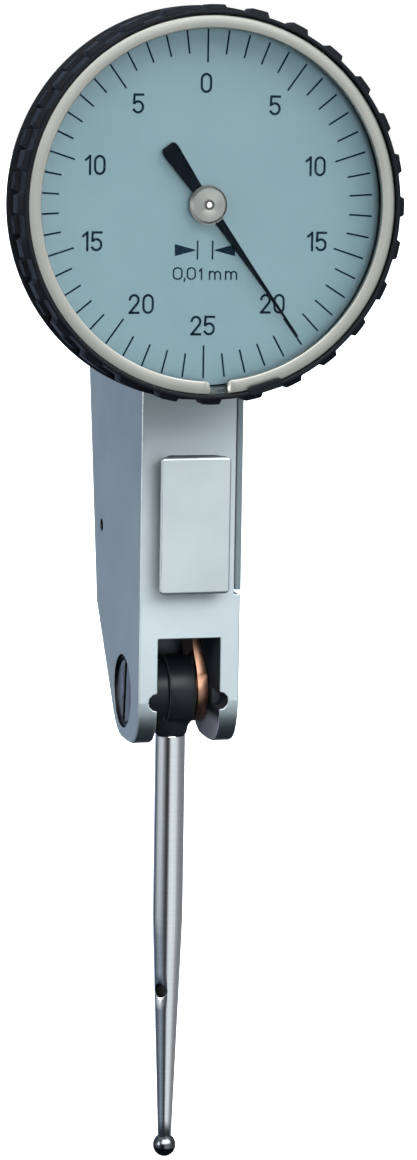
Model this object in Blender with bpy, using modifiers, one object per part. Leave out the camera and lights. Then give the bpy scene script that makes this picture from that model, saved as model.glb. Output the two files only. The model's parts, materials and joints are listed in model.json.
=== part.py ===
# Dial test indicator: a dial head on a slim housing, with a ball-ended stylus that swivels in a fork.
# Metres, +Z up, +Y to the back. The origin is the centre of the front dovetail's face.

import math

import bmesh
import bpy
from mathutils import Matrix, Vector

# Fits and rounding
SEAT_GAP = 0.00005
RUNNING_GAP = 0.00004
SHAFT_GAP = 0.0001
OVERRUN = 0.002
SHORT_OVERRUN = 0.0005
WELD_DISTANCE = 0.000001
EDGE_ROUND = 0.00025
ROUND_STEPS = 40
MIDDLE_STEPS = 24
SMALL_STEPS = 12
SMOOTH_ANGLE = math.radians(30)
BEVEL_ANGLE = math.radians(50)
TOE_STEPS = 6
NOSE_STEPS = 4

# Front dovetail, which the part is held by
DOVETAIL_WIDTH = 0.00635
DOVETAIL_LENGTH = 0.01153
DOVETAIL_HEIGHT = 0.00165
DOVETAIL_FLANK = math.radians(28)

# Housing, measured from the swivel pivot
PIVOT_SETBACK = 0.006
PIVOT_DROP = 0.01517
BODY_LEFT = 0.0043
BODY_RIGHT = 0.00385
FORK_RIGHT = 0.0044
NOSE_RADIUS = 0.004
CHIN_BACK = 0.01015
CHIN_RISE = 0.0063
BACK_SETBACK = 0.0146
TAPER_TOP = 0.0294
BODY_ABOVE_DIAL = 0.0074
TOP_ROUND = 0.0016
WALL = 0.0011
FLOOR_RISE = 0.0106
LEDGE_RISE = 0.00908
SLOT_LEFT = 0.00268
SLOT_RIGHT = 0.00275
SLOT_RISE = 0.0054
WEB_RISE = 0.0016
WEB_WALL = 0.0012
NOTCH_RADIUS = 0.00075
NOTCH_DEPTH = 0.0026
WINDOW_LEFT = 0.0011
WINDOW_RIGHT = 0.0025
WINDOW_HALF = 0.0019

# Rear and top dovetails
REAR_DOVETAIL_DROP = 0.004
TOP_DOVETAIL_SETBACK = 0.0043

# Side cover and its screws
COVER_GAP = 0.00005
COVER_THICKNESS = 0.00055
COVER_RISE = 0.00944
PILLAR_RADIUS = 0.0012
UPPER_SCREW_SETBACKS = [-0.0035, 0.012]
UPPER_SCREW_LIFT = 0.0047
LOWER_SCREW_SETBACKS = [-0.0034, 0.0066]
LOWER_SCREW_RISE = 0.0121
SCREW_SHANK_RADIUS = 0.0005
SCREW_SHANK_LENGTH = 0.003
COVER_HEAD_RADIUS = 0.0009
COVER_HEAD_HEIGHT = 0.0003
SCREW_SLOT_WIDTH = 0.0002
SCREW_SLOT_DEPTH = 0.00015
DOWEL_RADIUS = 0.00045
DOWEL_SETBACK = 0.00848
DOWEL_RISE = 0.01324
DOWEL_RECESS = 0.0002

# Dial head
DIAL_OFFSET = 0.001
DIAL_RISE = 0.0421
BEZEL_REACH = 0.0102
BEZEL_DEPTH = 0.0054
BEZEL_RADIUS = 0.016
BEZEL_VALLEY = 0.00045
KNURL_COUNT = 28
KNURL_BLOCK_SHARE = 0.52
KNURL_FOOT_SHARE = 0.8
KNURL_ROW_GAP = 0.0002
KNURL_REAR_STEP = 0.00015
RING_RECESS = 0.0004
BEZEL_FRONT_WALL = 0.0003
RING_WIDTH = 0.00093
RING_THICKNESS = 0.0005
RING_SPLIT = 0.00145
RING_SPLIT_ANGLE = math.radians(177.6)
BUMP_ANGLE = math.radians(163)
BUMP_WIDTH = 0.0022
BUMP_REACH = 0.0004
BUMP_HEIGHT = 0.0003
CRYSTAL_THICKNESS = 0.00075
SHOULDER_STEP = 0.0004
DIAL_DEPTH = 0.00315
DIAL_THICKNESS = 0.0004
DIAL_HOLE = 0.0009
LIP_WIDTH = 0.00085
LIP_THICKNESS = 0.0005
BEZEL_SKIRT_WALL = 0.00065
CASE_NECK_STEP = 0.0007
CASE_BACK_THICKNESS = 0.0026
CASE_WALL = 0.0009
CASE_FLANGE = 0.0012
CASE_HUB_RADIUS = 0.0022
CASE_HUB_REACH = 0.001
SPRING_RING_STAND = 0.00025
SPRING_RING_WIRE = 0.0004
SPRING_RING_GROOVE = 0.0003
CASE_SCREW_CIRCLE = 0.0031
CASE_SCREW_ANGLES = [math.radians(angle) for angle in (30, 150, 270)]
CASE_HEAD_RADIUS = 0.00085
CASE_HEAD_HEIGHT = 0.0005
CASE_SHANK_LENGTH = 0.0034

# Pointer and its arbor
POINTER_ANGLE = math.radians(144)
POINTER_END_GAP = 0.00155
POINTER_TAIL = 0.006
POINTER_THICKNESS = 0.00025
POINTER_LIFT = 0.0006
POINTER_HUB_WIDTH = 0.0008
POINTER_TIP_WIDTH = 0.00016
POINTER_NECK_WIDTH = 0.00062
POINTER_NECK = 0.0015
POINTER_TAIL_WIDTH = 0.00106
POINTER_HOLE = 0.00025
CAP_RADIUS = 0.0015
CAP_THICKNESS = 0.00025
CAP_CHAMFER = 0.00008
ARBOR_RADIUS = 0.0003
ARBOR_NOSE_RADIUS = 0.0002
ARBOR_END = 0.0047
PINION_TEETH = 10
PINION_FRONT = 0.0015
PINION_WIDTH = 0.002
BUSH_RADIUS = 0.0006
BUSH_LENGTH = 0.0009
BRACKET_HALF = 0.0011
BRACKET_RIGHT = 0.0002

# Crown wheel and its arbor
WHEEL_SETBACK = 0.001
WHEEL_TEETH = 92
WHEEL_RADIUS = 0.0046
WHEEL_TOOTH_HALF = 0.0003
WHEEL_TOOTH_HEIGHT = 0.0002
WHEEL_RIM = 0.0003
WHEEL_DISC = 0.0003
WHEEL_HUB_RADIUS = 0.0009
WHEEL_HUB_LENGTH = 0.0005
GEAR_ARBOR_RADIUS = 0.0004
GEAR_PIVOT_RADIUS = 0.00022
GEAR_PIVOT_LENGTH = 0.0006
SECTOR_PINION_TEETH = 12
SECTOR_PINION_LEFT = 0.0011
SECTOR_PINION_WIDTH = 0.0012
SECTOR_TEETH_IN_CIRCLE = 660
SECTOR_TEETH = 11
BRIDGE_LEFT = 0.003
BRIDGE_THICKNESS = 0.00045
BRIDGE_HALF_WIDTH = 0.0011
BRIDGE_SCREW_SETBACK = 0.0085
BRIDGE_SCREW_SPREAD = 0.0027
BRIDGE_HEAD_RADIUS = 0.00085
BRIDGE_HEAD_HEIGHT = 0.00028

# Hairspring on the crown wheel's arbor
SPRING_WIRE_RADIUS = 0.0001
SPRING_START = 0.00085
SPRING_PITCH = 0.00068
SPRING_TURNS = 2
SPRING_POINTS_PER_TURN = 24
SPRING_PLANE = 0.0026
COLLET_RADIUS = 0.0006
COLLET_WIDTH = 0.0004
STUD_RADIUS = 0.0003

# Lever that carries the stylus
LEVER_LEFT = 0.00145
LEVER_THICKNESS = 0.0006
LEVER_STEP = 0.0003
LEVER_EYE_RADIUS = 0.0023
LEVER_EYE_TOP = 0.0036
LEVER_WAIST = 0.0011
ARM_WAIST = 0.00098
LEVER_STEP_OVERLAP = 0.0012
AXLE_RADIUS = 0.0009
AXLE_PIVOT_RADIUS = 0.0006
AXLE_PIVOT_LENGTH = 0.0007
WASHER_RADIUS = 0.0021
WASHER_THICKNESS = 0.00018
COLLAR_RADIUS = 0.0019
COLLAR_THICKNESS = 0.00022
BEARING_SCREW_RADIUS = 0.0031
BEARING_SCREW_RECESS = 0.0002
BEARING_SLOT_WIDTH = 0.0007
BEARING_SLOT_DEPTH = 0.0005
BEARING_BUSH_RADIUS = 0.0016

# Knuckle and stylus
KNUCKLE_RADIUS = 0.003
KNUCKLE_LEFT = 0.0008
KNUCKLE_RIGHT = 0.00146
HUB_RADIUS = 0.0026
HUB_LEFT = 0.0025
BOSS_TOP_RADIUS = 0.0017
BOSS_RADIUS = 0.0014
BOSS_START = 0.0022
BOSS_END = 0.0038
SPIGOT_RADIUS = 0.0007
SPIGOT_LENGTH = 0.0018
STEM_RADIUS = 0.0013
STEM_TAPER_START = 0.02
STEM_TIP_RADIUS = 0.00059
BALL_RADIUS = 0.001
BALL_DROP = 0.04028
CROSS_HOLE_RADIUS = 0.00062
CROSS_HOLE_DROP = 0.0266
CROSS_HOLE_TURN = math.radians(40)

# Tooth form, shared by the pinions and the sector
TOOTH_TIP_SHARE = 0.18
TOOTH_FOOT_SHARE = 0.6
ADDENDUM_SHARE = 0.8
DEDENDUM_SHARE = 1.1

# Places worked out from the sizes above
BODY_FRONT_Y = DOVETAIL_HEIGHT
PIVOT_Y = BODY_FRONT_Y + PIVOT_SETBACK
PIVOT_Z = -PIVOT_DROP
DIAL_X = -DIAL_OFFSET
DIAL_Z = PIVOT_Z + DIAL_RISE
BODY_TOP = DIAL_RISE + BODY_ABOVE_DIAL
REAR_DOVETAIL_RISE = DIAL_RISE - REAR_DOVETAIL_DROP
UPPER_SCREW_PLACES = [(back, DIAL_RISE + UPPER_SCREW_LIFT) for back in UPPER_SCREW_SETBACKS]
LOWER_SCREW_PLACES = [(back, LOWER_SCREW_RISE) for back in LOWER_SCREW_SETBACKS]
COVER_SCREW_PLACES = UPPER_SCREW_PLACES + LOWER_SCREW_PLACES
BEZEL_FRONT_Y = BODY_FRONT_Y - BEZEL_REACH
BEZEL_BACK_Y = BEZEL_FRONT_Y + BEZEL_DEPTH
RING_RADIUS = BEZEL_RADIUS - BEZEL_VALLEY - BEZEL_FRONT_WALL - SHAFT_GAP
RING_BORE = RING_RADIUS - RING_WIDTH
SHOULDER_RADIUS = RING_RADIUS - SHOULDER_STEP
LIP_RADIUS = SHOULDER_RADIUS - LIP_WIDTH
CASE_RADIUS = BEZEL_RADIUS - BEZEL_VALLEY - BEZEL_SKIRT_WALL - SHAFT_GAP
CASE_NECK_RADIUS = CASE_RADIUS - CASE_NECK_STEP
SPRING_RING_RADIUS = CASE_RADIUS + SPRING_RING_STAND
POINTER_LENGTH = SHOULDER_RADIUS - POINTER_END_GAP
RING_FRONT_Y = BEZEL_FRONT_Y + RING_RECESS
CRYSTAL_FRONT_Y = RING_FRONT_Y + RING_THICKNESS + SHAFT_GAP
CRYSTAL_BACK_Y = CRYSTAL_FRONT_Y + CRYSTAL_THICKNESS
SHOULDER_Y = CRYSTAL_BACK_Y + SEAT_GAP
DIAL_FRONT_Y = BEZEL_FRONT_Y + DIAL_DEPTH
DIAL_BACK_Y = DIAL_FRONT_Y + DIAL_THICKNESS
LIP_FRONT_Y = DIAL_BACK_Y + SEAT_GAP
LIP_BACK_Y = LIP_FRONT_Y + LIP_THICKNESS
CASE_FRONT_Y = LIP_BACK_Y + SHAFT_GAP
CASE_BACK_Y = BODY_FRONT_Y - SEAT_GAP
POINTER_BACK_Y = DIAL_FRONT_Y - POINTER_LIFT
POINTER_FRONT_Y = POINTER_BACK_Y - POINTER_THICKNESS
CAP_BACK_Y = POINTER_FRONT_Y - SEAT_GAP
WHEEL_Y = PIVOT_Y + WHEEL_SETBACK
WHEEL_Z = DIAL_Z
PINION_RADIUS = WHEEL_RADIUS * PINION_TEETH / WHEEL_TEETH
WHEEL_PITCH_X = DIAL_X + PINION_RADIUS
WHEEL_ROOT_X = WHEEL_PITCH_X + WHEEL_TOOTH_HEIGHT / 2
GEAR_DISTANCE = math.hypot(WHEEL_SETBACK, DIAL_RISE)
GEAR_LEAN = math.atan2(WHEEL_SETBACK, DIAL_RISE)
GEAR_SUM = SECTOR_TEETH_IN_CIRCLE + SECTOR_PINION_TEETH
SECTOR_RADIUS = GEAR_DISTANCE * SECTOR_TEETH_IN_CIRCLE / GEAR_SUM
SECTOR_PINION_RADIUS = GEAR_DISTANCE - SECTOR_RADIUS
EYE_LEFT_X = LEVER_LEFT + LEVER_STEP
EYE_RIGHT_X = EYE_LEFT_X + LEVER_THICKNESS

# Colour, roughness and metallic value of each finish
FINISHES = {
    "satin_chrome": ((0.62, 0.66, 0.69), 0.42, 1.0),
    "bright_steel": ((0.72, 0.72, 0.72), 0.18, 1.0),
    "bright_nickel": ((0.78, 0.77, 0.73), 0.22, 1.0),
    "dark_steel": ((0.1, 0.1, 0.11), 0.35, 1.0),
    "black_plastic": ((0.02, 0.022, 0.028), 0.38, 0.0),
    "black_paint": ((0.015, 0.015, 0.018), 0.45, 0.0),
    "pale_dial": ((0.45, 0.58, 0.66), 0.5, 0.0),
    "crystal": ((0.9, 0.95, 1.0), 0.03, 0.0),
    "brass": ((0.72, 0.52, 0.22), 0.3, 1.0),
    "bronze": ((0.6, 0.32, 0.2), 0.35, 1.0),
    "aluminium": ((0.6, 0.61, 0.62), 0.4, 1.0),
}

AXIS_TURN = {
    "X": Matrix.Rotation(math.pi / 2, 4, "Y"),
    "Y": Matrix.Rotation(-math.pi / 2, 4, "X"),
    "-Y": Matrix.Rotation(math.pi / 2, 4, "X"),
    "Z": Matrix.Identity(4),
}

# Flat outlines are drawn in a plane: side is (Y, Z), face is (X, Z) and plan is (X, Y)
PLANE_AXES = {
    "side": (Vector((0, 1, 0)), Vector((0, 0, 1)), Vector((1, 0, 0))),
    "face": (Vector((1, 0, 0)), Vector((0, 0, 1)), Vector((0, -1, 0))),
    "plan": (Vector((1, 0, 0)), Vector((0, 1, 0)), Vector((0, 0, 1))),
}


def clear_scene():
    for item in list(bpy.data.objects):
        bpy.data.objects.remove(item, do_unlink=True)


def new_collection(name):
    collection = bpy.data.collections.new(name)
    bpy.context.scene.collection.children.link(collection)
    return collection


def finish_material(name):
    colour, roughness, metallic = FINISHES[name]
    material = bpy.data.materials.new(name)
    material.use_nodes = True
    shader = material.node_tree.nodes["Principled BSDF"]
    shader.inputs["Base Color"].default_value = (*colour, 1)
    shader.inputs["Roughness"].default_value = roughness
    shader.inputs["Metallic"].default_value = metallic
    return material


def shade_round(mesh):
    mesh.shade_smooth()
    mesh.set_sharp_from_angle(angle=SMOOTH_ANGLE)


def place_mesh(name, mesh, matrix):
    item = bpy.data.objects.new(name, mesh)
    item.matrix_world = matrix
    bpy.context.scene.collection.objects.link(item)
    return item


def evaluated_mesh(item, name):
    bpy.context.view_layer.update()
    graph = bpy.context.evaluated_depsgraph_get()
    return bpy.data.meshes.new_from_object(item.evaluated_get(graph))


def weld(mesh):
    shape = bmesh.new()
    shape.from_mesh(mesh)
    bmesh.ops.remove_doubles(shape, verts=shape.verts, dist=WELD_DISTANCE)
    bmesh.ops.dissolve_degenerate(shape, edges=shape.edges, dist=WELD_DISTANCE)
    shape.to_mesh(mesh)
    shape.free()


def box(name, low, high):
    low, high = Vector(low), Vector(high)
    size = high - low
    scale = Matrix.Diagonal((*size, 1))
    shape = bmesh.new()
    bmesh.ops.create_cube(shape, size=1, matrix=scale)
    mesh = bpy.data.meshes.new(name)
    shape.to_mesh(mesh)
    shape.free()
    return place_mesh(name, mesh, Matrix.Translation((low + high) / 2))


def cylinder(name, centre, axis, start, end, radius, end_radius=None, steps=SMALL_STEPS):
    """A cylinder or cone whose ends lie at start and end along the axis, counted from centre."""
    shape = bmesh.new()
    bmesh.ops.create_cone(
        shape, cap_ends=True, segments=steps, depth=end - start,
        radius1=radius, radius2=radius if end_radius is None else end_radius,
        matrix=Matrix.Translation((0, 0, (start + end) / 2)),
    )
    mesh = bpy.data.meshes.new(name)
    shape.to_mesh(mesh)
    shape.free()
    shade_round(mesh)
    return place_mesh(name, mesh, Matrix.Translation(centre) @ AXIS_TURN[axis])


def ball(name, centre, radius, steps=MIDDLE_STEPS):
    shape = bmesh.new()
    bmesh.ops.create_uvsphere(shape, u_segments=steps, v_segments=steps // 2, radius=radius)
    mesh = bpy.data.meshes.new(name)
    shape.to_mesh(mesh)
    shape.free()
    mesh.shade_smooth()
    return place_mesh(name, mesh, Matrix.Translation(centre))


def turned(name, centre, axis, profile, steps=ROUND_STEPS):
    """Turn (radius, place along the axis) points, listed down the outer side from the far end."""
    closed = profile[0][0] > 0 or profile[-1][0] > 0
    edges = [(index, index + 1) for index in range(len(profile) - 1)]
    if closed:
        edges.append((len(profile) - 1, 0))
    mesh = bpy.data.meshes.new(name)
    mesh.from_pydata([(radius, 0, place) for radius, place in profile], edges, [])
    guide = place_mesh(name, mesh, Matrix.Identity(4))
    screw = guide.modifiers.new("turn", "SCREW")
    screw.steps = steps
    screw.render_steps = steps
    screw.use_merge_vertices = True
    screw.merge_threshold = WELD_DISTANCE
    result = evaluated_mesh(guide, name)
    bpy.data.objects.remove(guide, do_unlink=True)
    weld(result)
    shade_round(result)
    return place_mesh(name, result, Matrix.Translation(centre) @ AXIS_TURN[axis])


def outline(name, plane, loops, low, high):
    """Fill closed loops of points in a plane and give them thickness from low to high across it."""
    first, second, across = PLANE_AXES[plane]
    curve = bpy.data.curves.new(name, "CURVE")
    curve.dimensions = "2D"
    curve.fill_mode = "BOTH"
    curve.extrude = (high - low) / 2
    for points in loops:
        spline = curve.splines.new("POLY")
        spline.points.add(len(points) - 1)
        spline.use_cyclic_u = True
        for point, place in zip(spline.points, points):
            point.co = (*place, 0, 1)
    guide = place_mesh(name, curve, Matrix.Identity(4))
    mesh = evaluated_mesh(guide, name)
    bpy.data.objects.remove(guide, do_unlink=True)
    weld(mesh)
    middle = (low + high) / 2
    if plane == "face":
        middle = -middle
    turn = Matrix((first, second, across)).transposed().to_4x4()
    return place_mesh(name, mesh, turn @ Matrix.Translation((0, 0, middle)))


def combine(target, other, operation):
    modifier = target.modifiers.new(other.name, "BOOLEAN")
    modifier.operation = operation
    modifier.object = other
    for collection in list(other.users_collection):
        collection.objects.unlink(other)
    bpy.data.collections["construction"].objects.link(other)
    other.hide_render = True
    other.display_type = "WIRE"


def cut(target, *cutters):
    for cutter in cutters:
        combine(target, cutter, "DIFFERENCE")


def join(target, *others):
    for other in others:
        combine(target, other, "UNION")


def arc(centre, radius, start, end, steps):
    """Points of an arc, with angles counted from the first axis towards the second."""
    angles = [start + (end - start) * step / steps for step in range(steps + 1)]
    return [(centre[0] + radius * math.cos(turn), centre[1] + radius * math.sin(turn)) for turn in angles]


def rounded(points, radii, steps=4):
    """Replace each corner that has a radius by an arc that touches both of its sides."""
    result = []
    for index, (corner, radius) in enumerate(zip(points, radii)):
        if radius == 0:
            result.append(corner)
            continue
        here = Vector(corner)
        back = (Vector(points[index - 1]) - here).normalized()
        ahead = (Vector(points[(index + 1) % len(points)]) - here).normalized()
        half = back.angle(ahead) / 2
        centre = here + (back + ahead).normalized() * radius / math.sin(half)
        start = here + back * radius / math.tan(half) - centre
        end = here + ahead * radius / math.tan(half) - centre
        for step in range(steps + 1):
            spoke = start.slerp(end, step / steps).normalized() * radius
            result.append(tuple(centre + spoke))
    return result


def gear_loop(centre, radius, count, first_angle, kept=None):
    """A toothed outline; first_angle points at the middle of tooth zero."""
    pitch = 2 * math.pi / count
    module = 2 * radius / count
    tip = radius + ADDENDUM_SHARE * module
    foot = radius - DEDENDUM_SHARE * module
    points = []
    for tooth in range(count) if kept is None else kept:
        middle = first_angle + tooth * pitch
        for reach, share in ((foot, -TOOTH_FOOT_SHARE), (tip, -TOOTH_TIP_SHARE),
                             (tip, TOOTH_TIP_SHARE), (foot, TOOTH_FOOT_SHARE)):
            turn = middle + share * pitch / 2
            points.append((centre[0] + reach * math.cos(turn), centre[1] + reach * math.sin(turn)))
    return points


def side_place(back, rise):
    """A (Y, Z) place from its distance behind the pivot and above it."""
    return (PIVOT_Y + back, PIVOT_Z + rise)


def chin_tangent():
    """The angle at which the sloping chin leaves the nose's round, seen from the pivot."""
    reach = math.hypot(CHIN_BACK, CHIN_RISE)
    return math.atan2(CHIN_RISE, CHIN_BACK) - math.acos(NOSE_RADIUS / reach)


def chin_back(rise):
    """How far the sloping chin lies behind the pivot at a height above it."""
    slope = -math.tan(chin_tangent())
    return CHIN_BACK - (CHIN_RISE - rise) * slope


def taper_back(rise):
    """How far the tapered back lies behind the pivot at a height above it."""
    share = (rise - CHIN_RISE) / (TAPER_TOP - CHIN_RISE)
    return CHIN_BACK + (BACK_SETBACK - CHIN_BACK) * share


def housing_side():
    front = -PIVOT_SETBACK
    upper = [(front, BODY_TOP), (front, 0)]
    toe_centre = (front + NOSE_RADIUS, 0)
    toe = arc(toe_centre, NOSE_RADIUS, math.pi, math.pi * 3 / 2, TOE_STEPS)
    nose = arc((0, 0), NOSE_RADIUS, -math.pi / 2, chin_tangent(), NOSE_STEPS)
    back = [(CHIN_BACK, CHIN_RISE), (BACK_SETBACK, TAPER_TOP), (BACK_SETBACK, BODY_TOP)]
    points = upper[:1] + toe + nose + back
    radii = [TOP_ROUND] + [0] * (len(toe) + len(nose)) + [TOP_ROUND, 0, TOP_ROUND]
    return [side_place(*point) for point in rounded(points, radii)]


def cover_side():
    front = -PIVOT_SETBACK
    points = [(front, BODY_TOP), (front, COVER_RISE), (taper_back(COVER_RISE), COVER_RISE),
              (BACK_SETBACK, TAPER_TOP), (BACK_SETBACK, BODY_TOP)]
    radii = [TOP_ROUND, 0, 0, 0, TOP_ROUND]
    return [side_place(*point) for point in rounded(points, radii)]


def dovetail_section(base):
    """The dovetail's section as (across, out) points, let into the body by base."""
    half = DOVETAIL_WIDTH / 2
    foot = half - (DOVETAIL_HEIGHT + base) * math.tan(DOVETAIL_FLANK)
    return [(-half, DOVETAIL_HEIGHT), (-foot, -base), (foot, -base), (half, DOVETAIL_HEIGHT)]


def front_dovetail():
    section = [(across, BODY_FRONT_Y - out) for across, out in dovetail_section(EDGE_ROUND)]
    item = outline("front_dovetail", "plan", [section], -DOVETAIL_LENGTH / 2, DOVETAIL_LENGTH / 2)
    soften(item)
    return item


def rear_dovetail():
    back = PIVOT_Y + BACK_SETBACK
    section = [(across, back + out) for across, out in dovetail_section(EDGE_ROUND)]
    middle = PIVOT_Z + REAR_DOVETAIL_RISE
    item = outline("rear_dovetail", "plan", [section],
                   middle - DOVETAIL_LENGTH / 2, middle + DOVETAIL_LENGTH / 2)
    soften(item)
    return item


def top_dovetail():
    top = PIVOT_Z + BODY_TOP
    section = [(across, top + out) for across, out in dovetail_section(EDGE_ROUND)]
    middle = PIVOT_Y + TOP_DOVETAIL_SETBACK
    item = outline("top_dovetail", "face", [section],
                   middle - DOVETAIL_LENGTH / 2, middle + DOVETAIL_LENGTH / 2)
    soften(item)
    return item


def soften(item, width=EDGE_ROUND, segments=1):
    bevel = item.modifiers.new("soft_edges", "BEVEL")
    bevel.width = width
    bevel.segments = segments
    bevel.limit_method = "ANGLE"
    bevel.angle_limit = BEVEL_ANGLE


def pocket_side():
    front = -PIVOT_SETBACK + WALL
    top = BODY_TOP - WALL
    lower_back = taper_back(FLOOR_RISE) - WALL
    upper_back = BACK_SETBACK - WALL
    points = [(front, top), (front, FLOOR_RISE), (lower_back, FLOOR_RISE), (upper_back, TAPER_TOP),
              (upper_back, top)]
    return [side_place(*point) for point in points]


def slot_side():
    front = -PIVOT_SETBACK - OVERRUN
    below = -NOSE_RADIUS - OVERRUN
    lean = WEB_WALL / math.cos(chin_tangent())
    back = chin_back(WEB_RISE) + OVERRUN
    points = [(front, SLOT_RISE), (front, below), (back, below), (back, WEB_RISE),
              (chin_back(WEB_RISE) - lean, WEB_RISE), (chin_back(SLOT_RISE) - lean, SLOT_RISE)]
    return [side_place(*point) for point in points]


def pillar(name, back, rise, radius, right):
    y, z = side_place(back, rise)
    return cylinder(name, (0, y, z), "X", -BODY_LEFT + WALL / 2, right, radius)


def hole_along_x(name, back, rise, left, right, radius, steps=SMALL_STEPS):
    y, z = side_place(back, rise)
    return cylinder(name, (0, y, z), "X", left, right, radius, steps=steps)


def bridge_screw_places():
    return [(BRIDGE_SCREW_SETBACK, DIAL_RISE - BRIDGE_SCREW_SPREAD),
            (BRIDGE_SCREW_SETBACK, DIAL_RISE + BRIDGE_SCREW_SPREAD)]


def make_housing():
    housing = outline("housing", "side", [housing_side()], -BODY_LEFT, FORK_RIGHT)
    soften(housing)
    body_top_z = PIVOT_Z + BODY_TOP
    step_z = PIVOT_Z + LEDGE_RISE
    cover_seat = box("cover_seat", (BODY_RIGHT, BODY_FRONT_Y - OVERRUN, step_z),
                     (FORK_RIGHT + OVERRUN, PIVOT_Y + BACK_SETBACK + OVERRUN, body_top_z + OVERRUN))
    pocket = outline("pocket", "side", [pocket_side()], -BODY_LEFT + WALL, FORK_RIGHT + OVERRUN)
    slot = outline("fork_slot", "side", [slot_side()], -SLOT_LEFT, SLOT_RIGHT)
    cut(housing, cover_seat, pocket, slot)
    join(housing, front_dovetail(), rear_dovetail(), top_dovetail())
    pillar_right = BODY_RIGHT - SEAT_GAP
    for number, (back, rise) in enumerate(COVER_SCREW_PLACES, start=1):
        join(housing, pillar(f"cover_pillar_{number}", back, rise, PILLAR_RADIUS, pillar_right))
    for number, (back, rise) in enumerate(bridge_screw_places(), start=1):
        join(housing, pillar(f"bridge_pillar_{number}", back, rise, PILLAR_RADIUS, BRIDGE_LEFT - SEAT_GAP))
    bracket_back = CASE_BACK_Y + ARBOR_END
    join(housing, box("arbor_bracket",
                      (-BODY_LEFT + WALL / 2, bracket_back - BUSH_LENGTH, DIAL_Z - BRACKET_HALF),
                      (-BRACKET_RIGHT, bracket_back, DIAL_Z + BRACKET_HALF)))
    window = box("lever_window",
                 (WINDOW_LEFT, PIVOT_Y - WINDOW_HALF, PIVOT_Z + SLOT_RISE - OVERRUN),
                 (WINDOW_RIGHT, PIVOT_Y + WINDOW_HALF, PIVOT_Z + FLOOR_RISE + OVERRUN))
    cut(housing, window)
    cut_housing_bores(housing, bracket_back)
    return housing


def cut_housing_bores(housing, bracket_back):
    for side, across in (("left", -SLOT_LEFT), ("right", SLOT_RIGHT)):
        cut(housing, cylinder(f"{side}_notch", (across, BODY_FRONT_Y, PIVOT_Z), "Y",
                              -OVERRUN, NOTCH_DEPTH, NOTCH_RADIUS))
    cut(housing, hole_along_x("bearing_screw_bore", 0, 0, -BODY_LEFT - OVERRUN, -SLOT_LEFT + OVERRUN,
                              BEARING_SCREW_RADIUS + SEAT_GAP, MIDDLE_STEPS))
    cut(housing, hole_along_x("bearing_bush_bore", 0, 0, SLOT_RIGHT - OVERRUN / 2, FORK_RIGHT + OVERRUN,
                              BEARING_BUSH_RADIUS + SEAT_GAP))
    cut(housing, hole_along_x("dowel_bore", DOWEL_SETBACK, DOWEL_RISE, -BODY_LEFT - OVERRUN, 0,
                              DOWEL_RADIUS + SEAT_GAP))
    cut(housing, hole_along_x("gear_bush_bore", WHEEL_SETBACK, DIAL_RISE, -BODY_LEFT - OVERRUN,
                              -BODY_LEFT + WALL + OVERRUN, BUSH_RADIUS + SEAT_GAP))
    thread_left = BODY_RIGHT + COVER_THICKNESS - SCREW_SHANK_LENGTH - SHAFT_GAP * 2
    for number, (back, rise) in enumerate(COVER_SCREW_PLACES, start=1):
        cut(housing, hole_along_x(f"cover_thread_{number}", back, rise, thread_left,
                                  FORK_RIGHT + OVERRUN, SCREW_SHANK_RADIUS + SEAT_GAP))
    for number, (back, rise) in enumerate(bridge_screw_places(), start=1):
        cut(housing, hole_along_x(f"bridge_thread_{number}", back, rise,
                                  BRIDGE_LEFT - SCREW_SHANK_LENGTH, BRIDGE_LEFT + OVERRUN,
                                  SCREW_SHANK_RADIUS + SEAT_GAP))
    bush_front = bracket_back - BUSH_LENGTH
    cut(housing, cylinder("rear_bush_bore", (DIAL_X, bush_front, DIAL_Z), "Y", -SHORT_OVERRUN,
                          BUSH_LENGTH + SHORT_OVERRUN, BUSH_RADIUS + SEAT_GAP))
    cut(housing, cylinder("arbor_bore", (DIAL_X, BODY_FRONT_Y, DIAL_Z), "Y", -OVERRUN, WALL + SHORT_OVERRUN,
                          CASE_HUB_RADIUS + SEAT_GAP, steps=ROUND_STEPS))
    for number, (x, z) in enumerate(case_screw_places(), start=1):
        cut(housing, cylinder(f"case_thread_{number}", (x, BODY_FRONT_Y, z), "Y", -OVERRUN, WALL + SHORT_OVERRUN,
                              SCREW_SHANK_RADIUS + SEAT_GAP))


def make_cover():
    left = BODY_RIGHT + COVER_GAP
    cover = outline("side_cover", "side", [cover_side()], left, left + COVER_THICKNESS)
    for number, (back, rise) in enumerate(COVER_SCREW_PLACES, start=1):
        cut(cover, hole_along_x(f"cover_hole_{number}", back, rise, BODY_RIGHT - OVERRUN,
                                FORK_RIGHT + OVERRUN, SCREW_SHANK_RADIUS + SEAT_GAP))
        sink = left + COVER_THICKNESS - COVER_HEAD_HEIGHT - SEAT_GAP
        cut(cover, hole_along_x(f"cover_sink_{number}", back, rise, sink, FORK_RIGHT + OVERRUN,
                                COVER_HEAD_RADIUS + SEAT_GAP))
    return cover


def slotted_screw(name, centre, axis, head_end, sizes, slot_sizes):
    """A screw whose head faces +axis at head_end: sizes are head radius and height, shank radius and length."""
    head_radius, head_height, shank_radius, shank_length = sizes
    seat = head_end - head_height
    chamfer = head_height / 4
    profile = [(0, head_end), (head_radius - chamfer, head_end), (head_radius, head_end - chamfer),
               (head_radius, seat), (shank_radius, seat), (shank_radius, seat - shank_length),
               (0, seat - shank_length)]
    screw = turned(name, centre, axis, profile, SMALL_STEPS)
    slot_width, slot_depth = slot_sizes
    slot = box(f"{name}_slot", (-head_radius * 2, -slot_width / 2, head_end - slot_depth),
               (head_radius * 2, slot_width / 2, head_end + slot_depth))
    slot.matrix_world = Matrix.Translation(centre) @ AXIS_TURN[axis] @ slot.matrix_world
    cut(screw, slot)
    return screw


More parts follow.
